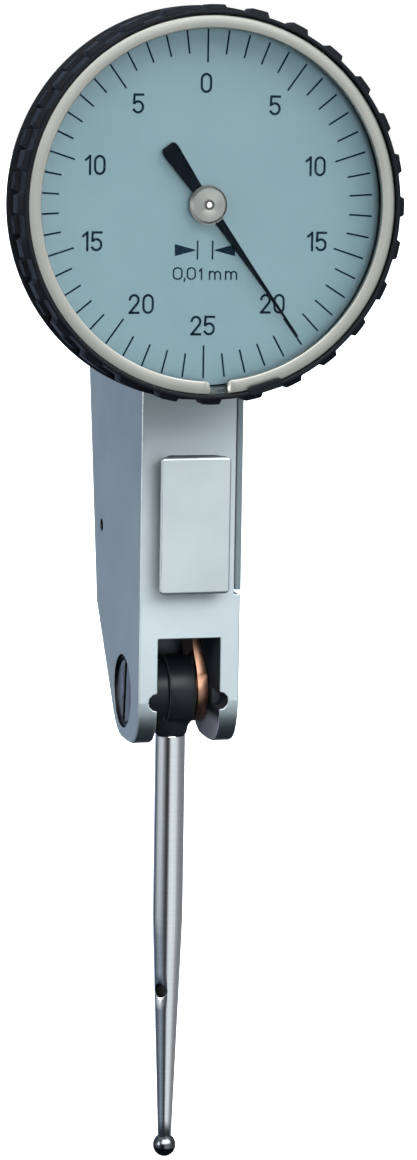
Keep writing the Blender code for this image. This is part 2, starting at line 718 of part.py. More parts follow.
def make_cover_screws():
    screws = []
    head_end = BODY_RIGHT + COVER_GAP + COVER_THICKNESS
    for number, (back, rise) in enumerate(COVER_SCREW_PLACES, start=1):
        y, z = side_place(back, rise)
        sizes = (COVER_HEAD_RADIUS, COVER_HEAD_HEIGHT, SCREW_SHANK_RADIUS,
                 SCREW_SHANK_LENGTH - COVER_HEAD_HEIGHT)
        screws.append(slotted_screw(f"cover_screw_{number}", (0, y, z), "X", head_end, sizes,
                                    (SCREW_SLOT_WIDTH, SCREW_SLOT_DEPTH)))
    return screws


def make_dowel():
    y, z = side_place(DOWEL_SETBACK, DOWEL_RISE)
    return cylinder("dowel_pin", (0, y, z), "X", -BODY_LEFT + DOWEL_RECESS, BODY_RIGHT - SEAT_GAP, DOWEL_RADIUS)


def dial_centre(y):
    return (DIAL_X, y, DIAL_Z)


def case_screw_places():
    return [(DIAL_X + CASE_SCREW_CIRCLE * math.cos(turn), DIAL_Z + CASE_SCREW_CIRCLE * math.sin(turn))
            for turn in CASE_SCREW_ANGLES]


def dial_box(name, angle, low, high):
    """A box given as (across, y, outwards), turned clockwise from the top of the dial by angle."""
    item = box(name, low, high)
    item.matrix_world = Matrix.Translation(dial_centre(0)) @ Matrix.Rotation(angle, 4, "Y") @ item.matrix_world
    return item


def knurl_row(name, front, back, top_radius, phase):
    """One row of blocks round the bezel, as a toothed ring."""
    pitch = 2 * math.pi / KNURL_COUNT
    foot_radius = BEZEL_RADIUS - BEZEL_VALLEY
    inner = (RING_RADIUS + SHAFT_GAP + BEZEL_RADIUS - BEZEL_VALLEY) / 2
    outer_loop = []
    for block in range(KNURL_COUNT):
        middle = (block + phase) * pitch
        for reach, share in ((foot_radius, -KNURL_FOOT_SHARE), (top_radius, -KNURL_BLOCK_SHARE),
                             (top_radius, KNURL_BLOCK_SHARE), (foot_radius, KNURL_FOOT_SHARE)):
            turn = middle + share * pitch / 2
            outer_loop.append((DIAL_X + reach * math.sin(turn), DIAL_Z + reach * math.cos(turn)))
    inner_loop = arc((DIAL_X, DIAL_Z), inner, 0, math.tau, ROUND_STEPS)[:-1]
    return outline(name, "face", [outer_loop, inner_loop], front, back)


def bezel_profile():
    """The bezel's section as (radius, y) from the back of its outer side to the front and back inside."""
    valley = BEZEL_RADIUS - BEZEL_VALLEY - SHAFT_GAP / 2
    groove_front = CASE_FRONT_Y + SPRING_RING_GROOVE
    groove_back = groove_front + SPRING_RING_WIRE + SHAFT_GAP * 2
    chamfer = EDGE_ROUND
    cavity = CASE_RADIUS + SHAFT_GAP
    return [
        (valley - chamfer, BEZEL_BACK_Y), (valley, BEZEL_BACK_Y - chamfer),
        (valley, BEZEL_FRONT_Y + chamfer), (valley - chamfer, BEZEL_FRONT_Y),
        (RING_RADIUS + SHAFT_GAP, BEZEL_FRONT_Y),
        (RING_RADIUS + SHAFT_GAP, SHOULDER_Y), (SHOULDER_RADIUS, SHOULDER_Y),
        (SHOULDER_RADIUS, LIP_FRONT_Y), (LIP_RADIUS, LIP_FRONT_Y), (LIP_RADIUS, LIP_BACK_Y),
        (cavity, LIP_BACK_Y), (cavity, groove_front),
        (SPRING_RING_RADIUS + SHAFT_GAP, groove_front), (SPRING_RING_RADIUS + SHAFT_GAP, groove_back),
        (cavity, groove_back), (cavity, BEZEL_BACK_Y),
    ]


def make_bezel():
    bezel = turned("bezel", dial_centre(0), "Y", bezel_profile())
    front = BEZEL_FRONT_Y + EDGE_ROUND
    middle = BEZEL_FRONT_Y + BEZEL_DEPTH / 2
    back = BEZEL_BACK_Y - EDGE_ROUND
    join(bezel, knurl_row("front_knurl", front, middle - KNURL_ROW_GAP / 2, BEZEL_RADIUS, 0))
    join(bezel, knurl_row("rear_knurl", middle + KNURL_ROW_GAP / 2, back,
                          BEZEL_RADIUS - KNURL_REAR_STEP, 1 / 2))
    lug_outer = RING_RADIUS + SHAFT_GAP * 2
    join(bezel, dial_box("ring_lug", BUMP_ANGLE,
                         (-BUMP_WIDTH / 2, BEZEL_FRONT_Y - SHAFT_GAP / 2, RING_RADIUS - BUMP_REACH),
                         (BUMP_WIDTH / 2, BEZEL_FRONT_Y - SHAFT_GAP / 2 + BUMP_HEIGHT, lug_outer)))
    return bezel


def ring_profile(outer, inner, front, back):
    return [(outer, back), (outer, front), (inner, front), (inner, back)]


def make_snap_ring():
    ring = turned("snap_ring", dial_centre(0), "Y",
                  ring_profile(RING_RADIUS, RING_BORE, RING_FRONT_Y, RING_FRONT_Y + RING_THICKNESS))
    cut(ring, dial_box("ring_split", RING_SPLIT_ANGLE,
                       (-RING_SPLIT / 2, RING_FRONT_Y - OVERRUN, RING_BORE - OVERRUN),
                       (RING_SPLIT / 2, RING_FRONT_Y + OVERRUN, RING_RADIUS + OVERRUN)))
    return ring


def make_crystal():
    chamfer = SHAFT_GAP
    profile = [(0, CRYSTAL_BACK_Y), (RING_RADIUS, CRYSTAL_BACK_Y),
               (RING_RADIUS, CRYSTAL_FRONT_Y + chamfer), (RING_RADIUS - chamfer, CRYSTAL_FRONT_Y),
               (0, CRYSTAL_FRONT_Y)]
    return turned("crystal", dial_centre(0), "Y", profile)


def make_dial_plate():
    outer = SHOULDER_RADIUS - SHAFT_GAP
    return turned("dial_plate", dial_centre(0), "Y", ring_profile(outer, DIAL_HOLE, DIAL_FRONT_Y, DIAL_BACK_Y))


def case_profile():
    """The case's section as (radius, y): flange, neck, back plate with its hub, and the hollow inside."""
    flange_back = CASE_FRONT_Y + CASE_FLANGE
    groove_front = CASE_FRONT_Y + SPRING_RING_GROOVE
    groove_back = groove_front + SPRING_RING_WIRE + SHAFT_GAP * 2
    groove_floor = SPRING_RING_RADIUS - SPRING_RING_WIRE - SHAFT_GAP
    hub_back = CASE_BACK_Y + CASE_HUB_REACH
    hollow_radius = CASE_NECK_RADIUS - CASE_WALL
    plate_front = CASE_BACK_Y - CASE_BACK_THICKNESS
    bush_bore = BUSH_RADIUS + SEAT_GAP
    return [
        (CASE_HUB_RADIUS, hub_back), (CASE_HUB_RADIUS, CASE_BACK_Y),
        (CASE_NECK_RADIUS - EDGE_ROUND, CASE_BACK_Y), (CASE_NECK_RADIUS, CASE_BACK_Y - EDGE_ROUND),
        (CASE_NECK_RADIUS, flange_back), (CASE_RADIUS, flange_back),
        (CASE_RADIUS, groove_back), (groove_floor, groove_back),
        (groove_floor, groove_front), (CASE_RADIUS, groove_front),
        (CASE_RADIUS, CASE_FRONT_Y), (hollow_radius, CASE_FRONT_Y),
        (hollow_radius, plate_front), (bush_bore, plate_front), (bush_bore, hub_back),
    ]


def make_case():
    case = turned("dial_case", dial_centre(0), "Y", case_profile())
    plate_front = CASE_BACK_Y - CASE_BACK_THICKNESS
    for number, (x, z) in enumerate(case_screw_places(), start=1):
        cut(case, cylinder(f"case_hole_{number}", (x, plate_front, z), "Y", -OVERRUN / 2,
                           CASE_BACK_THICKNESS + OVERRUN / 2, SCREW_SHANK_RADIUS + SEAT_GAP))
    return case


def make_case_screws():
    screws = []
    head_end = CASE_BACK_Y - CASE_BACK_THICKNESS - SEAT_GAP - CASE_HEAD_HEIGHT
    for number, (x, z) in enumerate(case_screw_places(), start=1):
        sizes = (CASE_HEAD_RADIUS, CASE_HEAD_HEIGHT, SCREW_SHANK_RADIUS, CASE_SHANK_LENGTH)
        screws.append(slotted_screw(f"case_screw_{number}", (x, head_end, z), "-Y", 0, sizes,
                                    (SCREW_SLOT_WIDTH, SCREW_SLOT_DEPTH)))
    return screws


def make_spring_ring():
    front = CASE_FRONT_Y + SPRING_RING_GROOVE + SHAFT_GAP
    ring = turned("bezel_spring", dial_centre(0), "Y",
                  ring_profile(SPRING_RING_RADIUS, SPRING_RING_RADIUS - SPRING_RING_WIRE,
                               front, front + SPRING_RING_WIRE))
    cut(ring, dial_box("spring_split", 0, (-RING_SPLIT / 2, front - OVERRUN, RING_BORE - OVERRUN),
                       (RING_SPLIT / 2, front + OVERRUN, RING_RADIUS + OVERRUN)))
    return ring


def pointer_place(along, across):
    """A face place from its distance along the pointer and to its clockwise side."""
    direction = Vector((math.sin(POINTER_ANGLE), math.cos(POINTER_ANGLE)))
    side = Vector((math.cos(POINTER_ANGLE), -math.sin(POINTER_ANGLE)))
    place = Vector((DIAL_X, DIAL_Z)) + direction * along + side * across
    return tuple(place)


def make_pointer():
    half_sizes = [
        (POINTER_LENGTH, POINTER_TIP_WIDTH / 2), (0, POINTER_HUB_WIDTH / 2),
        (-POINTER_NECK, POINTER_NECK_WIDTH / 2), (-POINTER_TAIL, POINTER_TAIL_WIDTH / 2),
    ]
    tail_tip = [(-POINTER_TAIL - POINTER_TAIL_WIDTH / 4, POINTER_TAIL_WIDTH / 4)]
    right = half_sizes + tail_tip
    loop = [pointer_place(along, half) for along, half in right]
    loop += [pointer_place(along, -half) for along, half in reversed(right)]
    hole = arc((DIAL_X, DIAL_Z), POINTER_HOLE, 0, math.tau, SMALL_STEPS)[:-1]
    return outline("pointer", "face", [loop, hole], POINTER_FRONT_Y, POINTER_BACK_Y)


def make_pointer_cap():
    front = CAP_BACK_Y - CAP_THICKNESS
    hole = POINTER_HOLE
    profile = [(CAP_RADIUS, CAP_BACK_Y), (CAP_RADIUS, front + CAP_CHAMFER),
               (CAP_RADIUS - CAP_CHAMFER, front), (hole, front), (hole, CAP_BACK_Y)]
    return turned("pointer_cap", dial_centre(0), "Y", profile, MIDDLE_STEPS)


def make_pointer_arbor():
    pinion_front = CASE_BACK_Y + PINION_FRONT
    cap_front = CAP_BACK_Y - CAP_THICKNESS
    profile = [(0, CASE_BACK_Y + ARBOR_END), (ARBOR_RADIUS, CASE_BACK_Y + ARBOR_END),
               (ARBOR_RADIUS, POINTER_BACK_Y + SEAT_GAP),
               (ARBOR_NOSE_RADIUS, POINTER_BACK_Y + SEAT_GAP),
               (ARBOR_NOSE_RADIUS, cap_front - SHAFT_GAP / 2), (0, cap_front - SHAFT_GAP)]
    arbor = turned("pointer_arbor", dial_centre(0), "Y", profile, SMALL_STEPS)
    gap_to_wheel = math.pi / PINION_TEETH
    pinion = outline("arbor_pinion", "face",
                     [gear_loop((DIAL_X, DIAL_Z), PINION_RADIUS, PINION_TEETH, gap_to_wheel)],
                     pinion_front, pinion_front + PINION_WIDTH)
    join(arbor, pinion)
    return arbor


def bush(name, centre, axis, start, length, hole):
    profile = ring_profile(BUSH_RADIUS, hole + RUNNING_GAP, start, start + length)
    return turned(name, centre, axis, profile, SMALL_STEPS)


def make_pointer_bushes():
    hub_back = CASE_BACK_Y + CASE_HUB_REACH
    rear_front = CASE_BACK_Y + ARBOR_END - BUSH_LENGTH
    front = bush("front_bush", dial_centre(0), "Y", hub_back - BUSH_LENGTH, BUSH_LENGTH, ARBOR_RADIUS)
    rear = bush("rear_bush", dial_centre(0), "Y", rear_front, BUSH_LENGTH - SHAFT_GAP, ARBOR_RADIUS)
    return front, rear


def make_crown_wheel():
    steps = WHEEL_TEETH * 2
    rim_inner = WHEEL_RADIUS - WHEEL_TOOTH_HALF
    rim_outer = WHEEL_RADIUS + WHEEL_TOOTH_HALF
    disc_left = WHEEL_ROOT_X + WHEEL_RIM
    disc_right = disc_left + WHEEL_DISC
    bore = GEAR_ARBOR_RADIUS + SEAT_GAP
    centre = (0, WHEEL_Y, WHEEL_Z)
    rim = turned("crown_wheel", centre, "X", ring_profile(rim_outer, rim_inner, WHEEL_ROOT_X, disc_right), steps)
    raise_teeth(rim)
    disc_edge = (rim_inner + rim_outer) / 2
    disc = turned("wheel_disc", centre, "X",
                  [(bore, disc_right + WHEEL_HUB_LENGTH), (WHEEL_HUB_RADIUS, disc_right + WHEEL_HUB_LENGTH),
                   (WHEEL_HUB_RADIUS, disc_right - SEAT_GAP), (disc_edge, disc_right - SEAT_GAP),
                   (disc_edge, disc_left), (bore, disc_left)], MIDDLE_STEPS)
    join(rim, disc)
    return rim


def raise_teeth(rim):
    """Raise every other spoke of the rim's left face into a tooth, one of them at the very front."""
    pitch = math.pi / WHEEL_TEETH
    for vertex in rim.data.vertices:
        if vertex.co.z > WHEEL_ROOT_X + SEAT_GAP:
            continue
        angle = math.atan2(vertex.co.x, -vertex.co.y)
        spoke = round(angle / pitch)
        if spoke % 2 == 0:
            vertex.co.z -= WHEEL_TOOTH_HEIGHT
    rim.data.update()


def make_gear_arbor():
    left = -BODY_LEFT + WALL + SEAT_GAP * 2
    right = BRIDGE_LEFT - SHAFT_GAP
    profile = [(0, right + GEAR_PIVOT_LENGTH), (GEAR_PIVOT_RADIUS, right + GEAR_PIVOT_LENGTH),
               (GEAR_PIVOT_RADIUS, right), (GEAR_ARBOR_RADIUS, right), (GEAR_ARBOR_RADIUS, left),
               (GEAR_PIVOT_RADIUS, left), (GEAR_PIVOT_RADIUS, left - GEAR_PIVOT_LENGTH),
               (0, left - GEAR_PIVOT_LENGTH)]
    arbor = turned("gear_arbor", (0, WHEEL_Y, WHEEL_Z), "X", profile, SMALL_STEPS)
    toward_pivot = math.atan2(-DIAL_RISE, -WHEEL_SETBACK)
    first = toward_pivot + math.pi / SECTOR_PINION_TEETH
    loop = gear_loop((WHEEL_Y, WHEEL_Z), SECTOR_PINION_RADIUS, SECTOR_PINION_TEETH, first)
    join(arbor, outline("sector_pinion", "side", [loop], SECTOR_PINION_LEFT,
                        SECTOR_PINION_LEFT + SECTOR_PINION_WIDTH))
    return arbor


def make_gear_bushes():
    centre = (0, WHEEL_Y, WHEEL_Z)
    left_start = -BODY_LEFT + SEAT_GAP
    left = bush("left_gear_bush", centre, "X", left_start, WALL - SEAT_GAP, GEAR_PIVOT_RADIUS)
    right = bush("right_gear_bush", centre, "X", BRIDGE_LEFT, BRIDGE_THICKNESS, GEAR_PIVOT_RADIUS)
    return left, right


def make_bridge():
    """The cock that carries the right end of the gear arbor, on two pillars."""
    nose = (WHEEL_SETBACK, DIAL_RISE)
    foot_back = BRIDGE_SCREW_SETBACK + PILLAR_RADIUS
    foot_half = BRIDGE_SCREW_SPREAD + PILLAR_RADIUS
    neck = BRIDGE_SCREW_SETBACK - PILLAR_RADIUS
    points = [(neck, DIAL_RISE + BRIDGE_HALF_WIDTH), (neck, DIAL_RISE + foot_half),
              (foot_back, DIAL_RISE + foot_half), (foot_back, DIAL_RISE - foot_half),
              (neck, DIAL_RISE - foot_half), (neck, DIAL_RISE - BRIDGE_HALF_WIDTH)]
    points += arc(nose, BRIDGE_HALF_WIDTH, math.pi * 3 / 2, math.pi / 2, SMALL_STEPS // 2)
    loop = [side_place(*point) for point in reversed(points)]
    bridge = outline("gear_bridge", "side", [loop], BRIDGE_LEFT, BRIDGE_LEFT + BRIDGE_THICKNESS)
    right = BRIDGE_LEFT + BRIDGE_THICKNESS + OVERRUN
    cut(bridge, hole_along_x("bridge_bore", *nose, BRIDGE_LEFT - OVERRUN, right, BUSH_RADIUS + SEAT_GAP))
    for number, (back, rise) in enumerate(bridge_screw_places(), start=1):
        cut(bridge, hole_along_x(f"bridge_hole_{number}", back, rise, BRIDGE_LEFT - OVERRUN, right,
                                 SCREW_SHANK_RADIUS + SEAT_GAP))
    return bridge


def make_bridge_screws():
    screws = []
    head_end = BRIDGE_LEFT + BRIDGE_THICKNESS + SEAT_GAP + BRIDGE_HEAD_HEIGHT
    for number, (back, rise) in enumerate(bridge_screw_places(), start=1):
        y, z = side_place(back, rise)
        sizes = (BRIDGE_HEAD_RADIUS, BRIDGE_HEAD_HEIGHT, SCREW_SHANK_RADIUS,
                 SCREW_SHANK_LENGTH - BRIDGE_HEAD_HEIGHT)
        screws.append(slotted_screw(f"bridge_screw_{number}", (0, y, z), "X", head_end, sizes,
                                    (SCREW_SLOT_WIDTH, SCREW_SLOT_DEPTH)))
    return screws


def spring_points():
    """The hairspring's spiral, in the plane across the gear arbor."""
    count = SPRING_TURNS * SPRING_POINTS_PER_TURN
    points = []
    for step in range(count + 1):
        turns = step / SPRING_POINTS_PER_TURN
        radius = SPRING_START + SPRING_PITCH * turns
        turn = turns * math.tau
        points.append((SPRING_PLANE, WHEEL_Y + radius * math.cos(turn), WHEEL_Z + radius * math.sin(turn)))
    return points


def least_spring_gap(points):
    """The least gap between turns, measured between points at least half a turn apart."""
    apart = SPRING_POINTS_PER_TURN // 2
    least = min((Vector(first) - Vector(second)).length
                for index, first in enumerate(points) for second in points[index + apart:])
    return least - SPRING_WIRE_RADIUS * 2


def make_hairspring():
    points = spring_points()
    print("hairspring least gap to itself, m:", round(least_spring_gap(points), 6))
    curve = bpy.data.curves.new("hairspring", "CURVE")
    curve.dimensions = "3D"
    curve.bevel_depth = SPRING_WIRE_RADIUS
    curve.bevel_resolution = 1
    curve.use_fill_caps = True
    spline = curve.splines.new("POLY")
    spline.points.add(len(points) - 1)
    for point, place in zip(spline.points, points):
        point.co = (*place, 1)
    guide = place_mesh("hairspring", curve, Matrix.Identity(4))
    mesh = evaluated_mesh(guide, "hairspring")
    bpy.data.objects.remove(guide, do_unlink=True)
    weld(mesh)
    return place_mesh("hairspring", mesh, Matrix.Identity(4))


def make_collet():
    profile = ring_profile(COLLET_RADIUS, GEAR_ARBOR_RADIUS + SEAT_GAP, SPRING_PLANE - COLLET_WIDTH / 2,
                           SPRING_PLANE + COLLET_WIDTH / 2)
    return turned("hairspring_collet", (0, WHEEL_Y, WHEEL_Z), "X", profile, SMALL_STEPS)


def make_stud():
    """The stud stands on the bridge's foot and meets the hairspring's outer end."""
    reach = SPRING_START + SPRING_PITCH * SPRING_TURNS + SPRING_WIRE_RADIUS + SEAT_GAP + STUD_RADIUS
    centre = (0, WHEEL_Y + reach, WHEEL_Z)
    return cylinder("hairspring_stud", centre, "X", SPRING_PLANE - COLLET_WIDTH / 2,
                    BRIDGE_LEFT - SEAT_GAP, STUD_RADIUS)


def lean(point):
    """Turn a (back, rise) place so that the lever's middle line points at the gear arbor."""
    back, rise = point
    return (back * math.cos(GEAR_LEAN) + rise * math.sin(GEAR_LEAN),
            rise * math.cos(GEAR_LEAN) - back * math.sin(GEAR_LEAN))


def make_lever():
    """The eye plate at the pivot and, a step to the left of it, the long arm with its toothed sector."""
    eye = arc((0, 0), LEVER_EYE_RADIUS, math.pi * 5 / 6, math.pi * 13 / 6, SMALL_STEPS)
    eye_loop = eye + [(LEVER_WAIST, LEVER_EYE_TOP), (-LEVER_WAIST, LEVER_EYE_TOP)]
    eye_loop = [side_place(*lean(point)) for point in eye_loop]
    lever = outline("lever_arm", "side", [eye_loop], EYE_LEFT_X, EYE_RIGHT_X)
    start = LEVER_EYE_TOP - LEVER_STEP_OVERLAP
    pitch = math.tau / SECTOR_TEETH_IN_CIRCLE
    half = SECTOR_TEETH // 2
    crown = gear_loop((0, 0), SECTOR_RADIUS, SECTOR_TEETH_IN_CIRCLE, math.pi / 2, range(-half, half + 1))
    rim_radius = SECTOR_RADIUS - LEVER_WAIST
    rim_turn = (half + 1 / 2) * pitch
    shoulder = [(rim_radius * math.sin(turn), rim_radius * math.cos(turn)) for turn in (-rim_turn, rim_turn)]
    neck = SECTOR_RADIUS - LEVER_EYE_TOP
    loop = [(-ARM_WAIST, start), (ARM_WAIST, start), (ARM_WAIST, neck), shoulder[1]]
    loop += crown
    loop += [shoulder[0], (-ARM_WAIST, neck)]
    arm_loop = [side_place(*lean(point)) for point in loop]
    join(lever, outline("sector_arm", "side", [arm_loop], LEVER_LEFT, LEVER_LEFT + LEVER_THICKNESS))
    cut(lever, hole_along_x("lever_bore", 0, 0, LEVER_LEFT - OVERRUN, EYE_RIGHT_X + OVERRUN,
                            AXLE_RADIUS + SEAT_GAP))
    return lever


def pivot_centre():
    return (0, PIVOT_Y, PIVOT_Z)


def make_axle():
    left = -SLOT_LEFT + SHAFT_GAP
    right = SLOT_RIGHT - SHAFT_GAP
    profile = [(0, right + AXLE_PIVOT_LENGTH), (AXLE_PIVOT_RADIUS, right + AXLE_PIVOT_LENGTH),
               (AXLE_PIVOT_RADIUS, right), (AXLE_RADIUS, right), (AXLE_RADIUS, left),
               (AXLE_PIVOT_RADIUS, left), (AXLE_PIVOT_RADIUS, left - AXLE_PIVOT_LENGTH),
               (0, left - AXLE_PIVOT_LENGTH)]
    return turned("pivot_axle", pivot_centre(), "X", profile, SMALL_STEPS)


def make_axle_rings():
    bore = AXLE_RADIUS + SEAT_GAP
    middle = (KNUCKLE_RIGHT + EYE_LEFT_X) / 2
    washer = turned("friction_washer", pivot_centre(), "X",
                    ring_profile(WASHER_RADIUS, bore, middle - WASHER_THICKNESS / 2,
                                 middle + WASHER_THICKNESS / 2), MIDDLE_STEPS)
    start = EYE_RIGHT_X + SEAT_GAP
    collar = turned("axle_collar", pivot_centre(), "X",
                    ring_profile(COLLAR_RADIUS, bore, start, start + COLLAR_THICKNESS), MIDDLE_STEPS)
    return washer, collar


def make_bearing_screw():
    """The slotted screw in the left ear; its blind bore takes the axle's left pivot."""
    outer = -BODY_LEFT + BEARING_SCREW_RECESS
    inner = -SLOT_LEFT - SEAT_GAP
    bore = AXLE_PIVOT_RADIUS + RUNNING_GAP
    bore_end = inner - AXLE_PIVOT_LENGTH - SHAFT_GAP
    chamfer = EDGE_ROUND
    profile = [(bore, inner), (BEARING_SCREW_RADIUS, inner), (BEARING_SCREW_RADIUS, outer + chamfer),
               (BEARING_SCREW_RADIUS - chamfer, outer), (0, outer), (0, bore_end), (bore, bore_end)]
    screw = turned("bearing_screw", pivot_centre(), "X", profile, MIDDLE_STEPS)
    reach = BEARING_SCREW_RADIUS + OVERRUN
    cut(screw, box("bearing_slot",
                   (outer - OVERRUN, PIVOT_Y - BEARING_SLOT_WIDTH / 2, PIVOT_Z - reach),
                   (outer + BEARING_SLOT_DEPTH, PIVOT_Y + BEARING_SLOT_WIDTH / 2, PIVOT_Z + reach)))
    return screw


def make_bearing_bush():
    inner = SLOT_RIGHT + SEAT_GAP
    outer = FORK_RIGHT - SHAFT_GAP
    bore = AXLE_PIVOT_RADIUS + RUNNING_GAP
    bore_end = inner + AXLE_PIVOT_LENGTH + SHAFT_GAP
    profile = [(0, outer), (BEARING_BUSH_RADIUS, outer), (BEARING_BUSH_RADIUS, inner), (bore, inner),
               (bore, bore_end), (0, bore_end)]
    return turned("bearing_bush", pivot_centre(), "X", profile, SMALL_STEPS)


def make_knuckle():
    chamfer = EDGE_ROUND
    neck = -KNUCKLE_LEFT
    profile = [(0, KNUCKLE_RIGHT), (KNUCKLE_RADIUS - chamfer, KNUCKLE_RIGHT),
               (KNUCKLE_RADIUS, KNUCKLE_RIGHT - chamfer), (KNUCKLE_RADIUS, neck + chamfer),
               (KNUCKLE_RADIUS - chamfer, neck), (HUB_RADIUS, neck),
               (HUB_RADIUS, -HUB_LEFT + chamfer), (HUB_RADIUS - chamfer, -HUB_LEFT), (0, -HUB_LEFT)]
    knuckle = turned("knuckle", pivot_centre(), "X", profile, MIDDLE_STEPS)
    join(knuckle, cylinder("stem_boss", pivot_centre(), "Z", -BOSS_END, -BOSS_START,
                           BOSS_RADIUS, BOSS_TOP_RADIUS))
    cut(knuckle, hole_along_x("axle_bore", 0, 0, -HUB_LEFT - OVERRUN, KNUCKLE_RIGHT + OVERRUN,
                              AXLE_RADIUS + RUNNING_GAP))
    cut(knuckle, cylinder("stem_bore", pivot_centre(), "Z", -BOSS_END - OVERRUN,
                          -BOSS_END + SPIGOT_LENGTH + SEAT_GAP, SPIGOT_RADIUS + SEAT_GAP))
    return knuckle


def make_stem():
    shoulder = -BOSS_END - SEAT_GAP
    end = -BALL_DROP + BALL_RADIUS * math.cos(math.asin(STEM_TIP_RADIUS / BALL_RADIUS)) - SEAT_GAP
    profile = [(0, shoulder + SPIGOT_LENGTH), (SPIGOT_RADIUS, shoulder + SPIGOT_LENGTH),
               (SPIGOT_RADIUS, shoulder), (STEM_RADIUS - EDGE_ROUND / 2, shoulder),
               (STEM_RADIUS, shoulder - EDGE_ROUND / 2), (STEM_RADIUS, -STEM_TAPER_START),
               (STEM_TIP_RADIUS, end), (0, end)]
    stem = turned("stylus_stem", pivot_centre(), "Z", profile, MIDDLE_STEPS)
    ball_centre = (0, PIVOT_Y, PIVOT_Z - BALL_DROP)
    cut(stem, ball("ball_seat", ball_centre, BALL_RADIUS + SEAT_GAP))
    hole = cylinder("cross_hole", (0, 0, 0), "Y", -STEM_RADIUS * 2, STEM_RADIUS * 2, CROSS_HOLE_RADIUS)
    place = Matrix.Translation((0, PIVOT_Y, PIVOT_Z - CROSS_HOLE_DROP))
    hole.matrix_world = place @ Matrix.Rotation(-CROSS_HOLE_TURN, 4, "Z") @ AXIS_TURN["Y"]
    cut(stem, hole)
    return stem


def make_ball():
    return ball("ball_tip", (0, PIVOT_Y, PIVOT_Z - BALL_DROP), BALL_RADIUS)


def add_axis(name, place):
    axis = bpy.data.objects.new(name, None)
    axis.location = place
    bpy.data.collections["dial_test_indicator"].objects.link(axis)
    return axis


def finish_node(item, finish, axis=None):
    """Move a finished piece to the object's collection, give it its material and hang it on its axis."""
    for collection in list(item.users_collection):
        collection.objects.unlink(item)
    bpy.data.collections["dial_test_indicator"].objects.link(item)
    item.data.materials.append(bpy.data.materials.get(finish) or finish_material(finish))
    if axis is not None:
        place = item.matrix_world.copy()
        item.parent = axis
        item.matrix_parent_inverse = Matrix.Translation(axis.location).inverted()
        item.matrix_world = place


def build_fixed_pieces():
    finish_node(make_housing(), "satin_chrome")
    finish_node(make_cover(), "satin_chrome")
    for screw in make_cover_screws():
        finish_node(screw, "bright_steel")
    finish_node(make_dowel(), "dark_steel")
    finish_node(make_case(), "aluminium")
    for screw in make_case_screws():
        finish_node(screw, "bright_steel")
    finish_node(make_spring_ring(), "bright_steel")
    for piece in make_pointer_bushes():
        finish_node(piece, "brass")
    for piece in make_gear_bushes():
        finish_node(piece, "brass")
    finish_node(make_bridge(), "brass")
    for screw in make_bridge_screws():
        finish_node(screw, "bright_steel")
    finish_node(make_hairspring(), "bronze")
    finish_node(make_stud(), "bright_steel")
    finish_node(make_bearing_screw(), "dark_steel")
    finish_node(make_bearing_bush(), "dark_steel")


def build_moving_pieces():
    bezel_axis = add_axis("bezel_turn_axis", dial_centre(BEZEL_FRONT_Y))
    for piece, finish in ((make_bezel(), "black_plastic"), (make_snap_ring(), "bright_nickel"),
                          (make_crystal(), "crystal"), (make_dial_plate(), "pale_dial")):
        finish_node(piece, finish, bezel_axis)
    pointer_axis = add_axis("pointer_spin_axis", dial_centre(POINTER_FRONT_Y))
    for piece, finish in ((make_pointer(), "black_paint"), (make_pointer_cap(), "bright_steel"),
                          (make_pointer_arbor(), "bright_steel")):
        finish_node(piece, finish, pointer_axis)
    gear_axis = add_axis("gear_spin_axis", (0, WHEEL_Y, WHEEL_Z))
    for piece, finish in ((make_crown_wheel(), "brass"), (make_gear_arbor(), "bright_steel"),
                          (make_collet(), "brass")):
        finish_node(piece, finish, gear_axis)
    lever_axis = add_axis("lever_swing_axis", pivot_centre())
    washer, collar = make_axle_rings()
    for piece, finish in ((make_lever(), "bronze"), (make_axle(), "bright_steel"),
                          (washer, "bright_steel"), (collar, "black_paint")):
        finish_node(piece, finish, lever_axis)
    stylus_axis = add_axis("stylus_swivel_axis", pivot_centre())
    stylus_axis.parent = lever_axis
    stylus_axis.matrix_parent_inverse = Matrix.Translation(lever_axis.location).inverted()
    for piece, finish in ((make_knuckle(), "black_paint"), (make_stem(), "bright_steel"),
                          (make_ball(), "dark_steel")):
        finish_node(piece, finish, stylus_axis)


def main():
    clear_scene()
    new_collection("dial_test_indicator")
    new_collection("construction")
    build_fixed_pieces()
    build_moving_pieces()


main()
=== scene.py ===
import json
import math

import bpy
from mathutils import Matrix, Vector


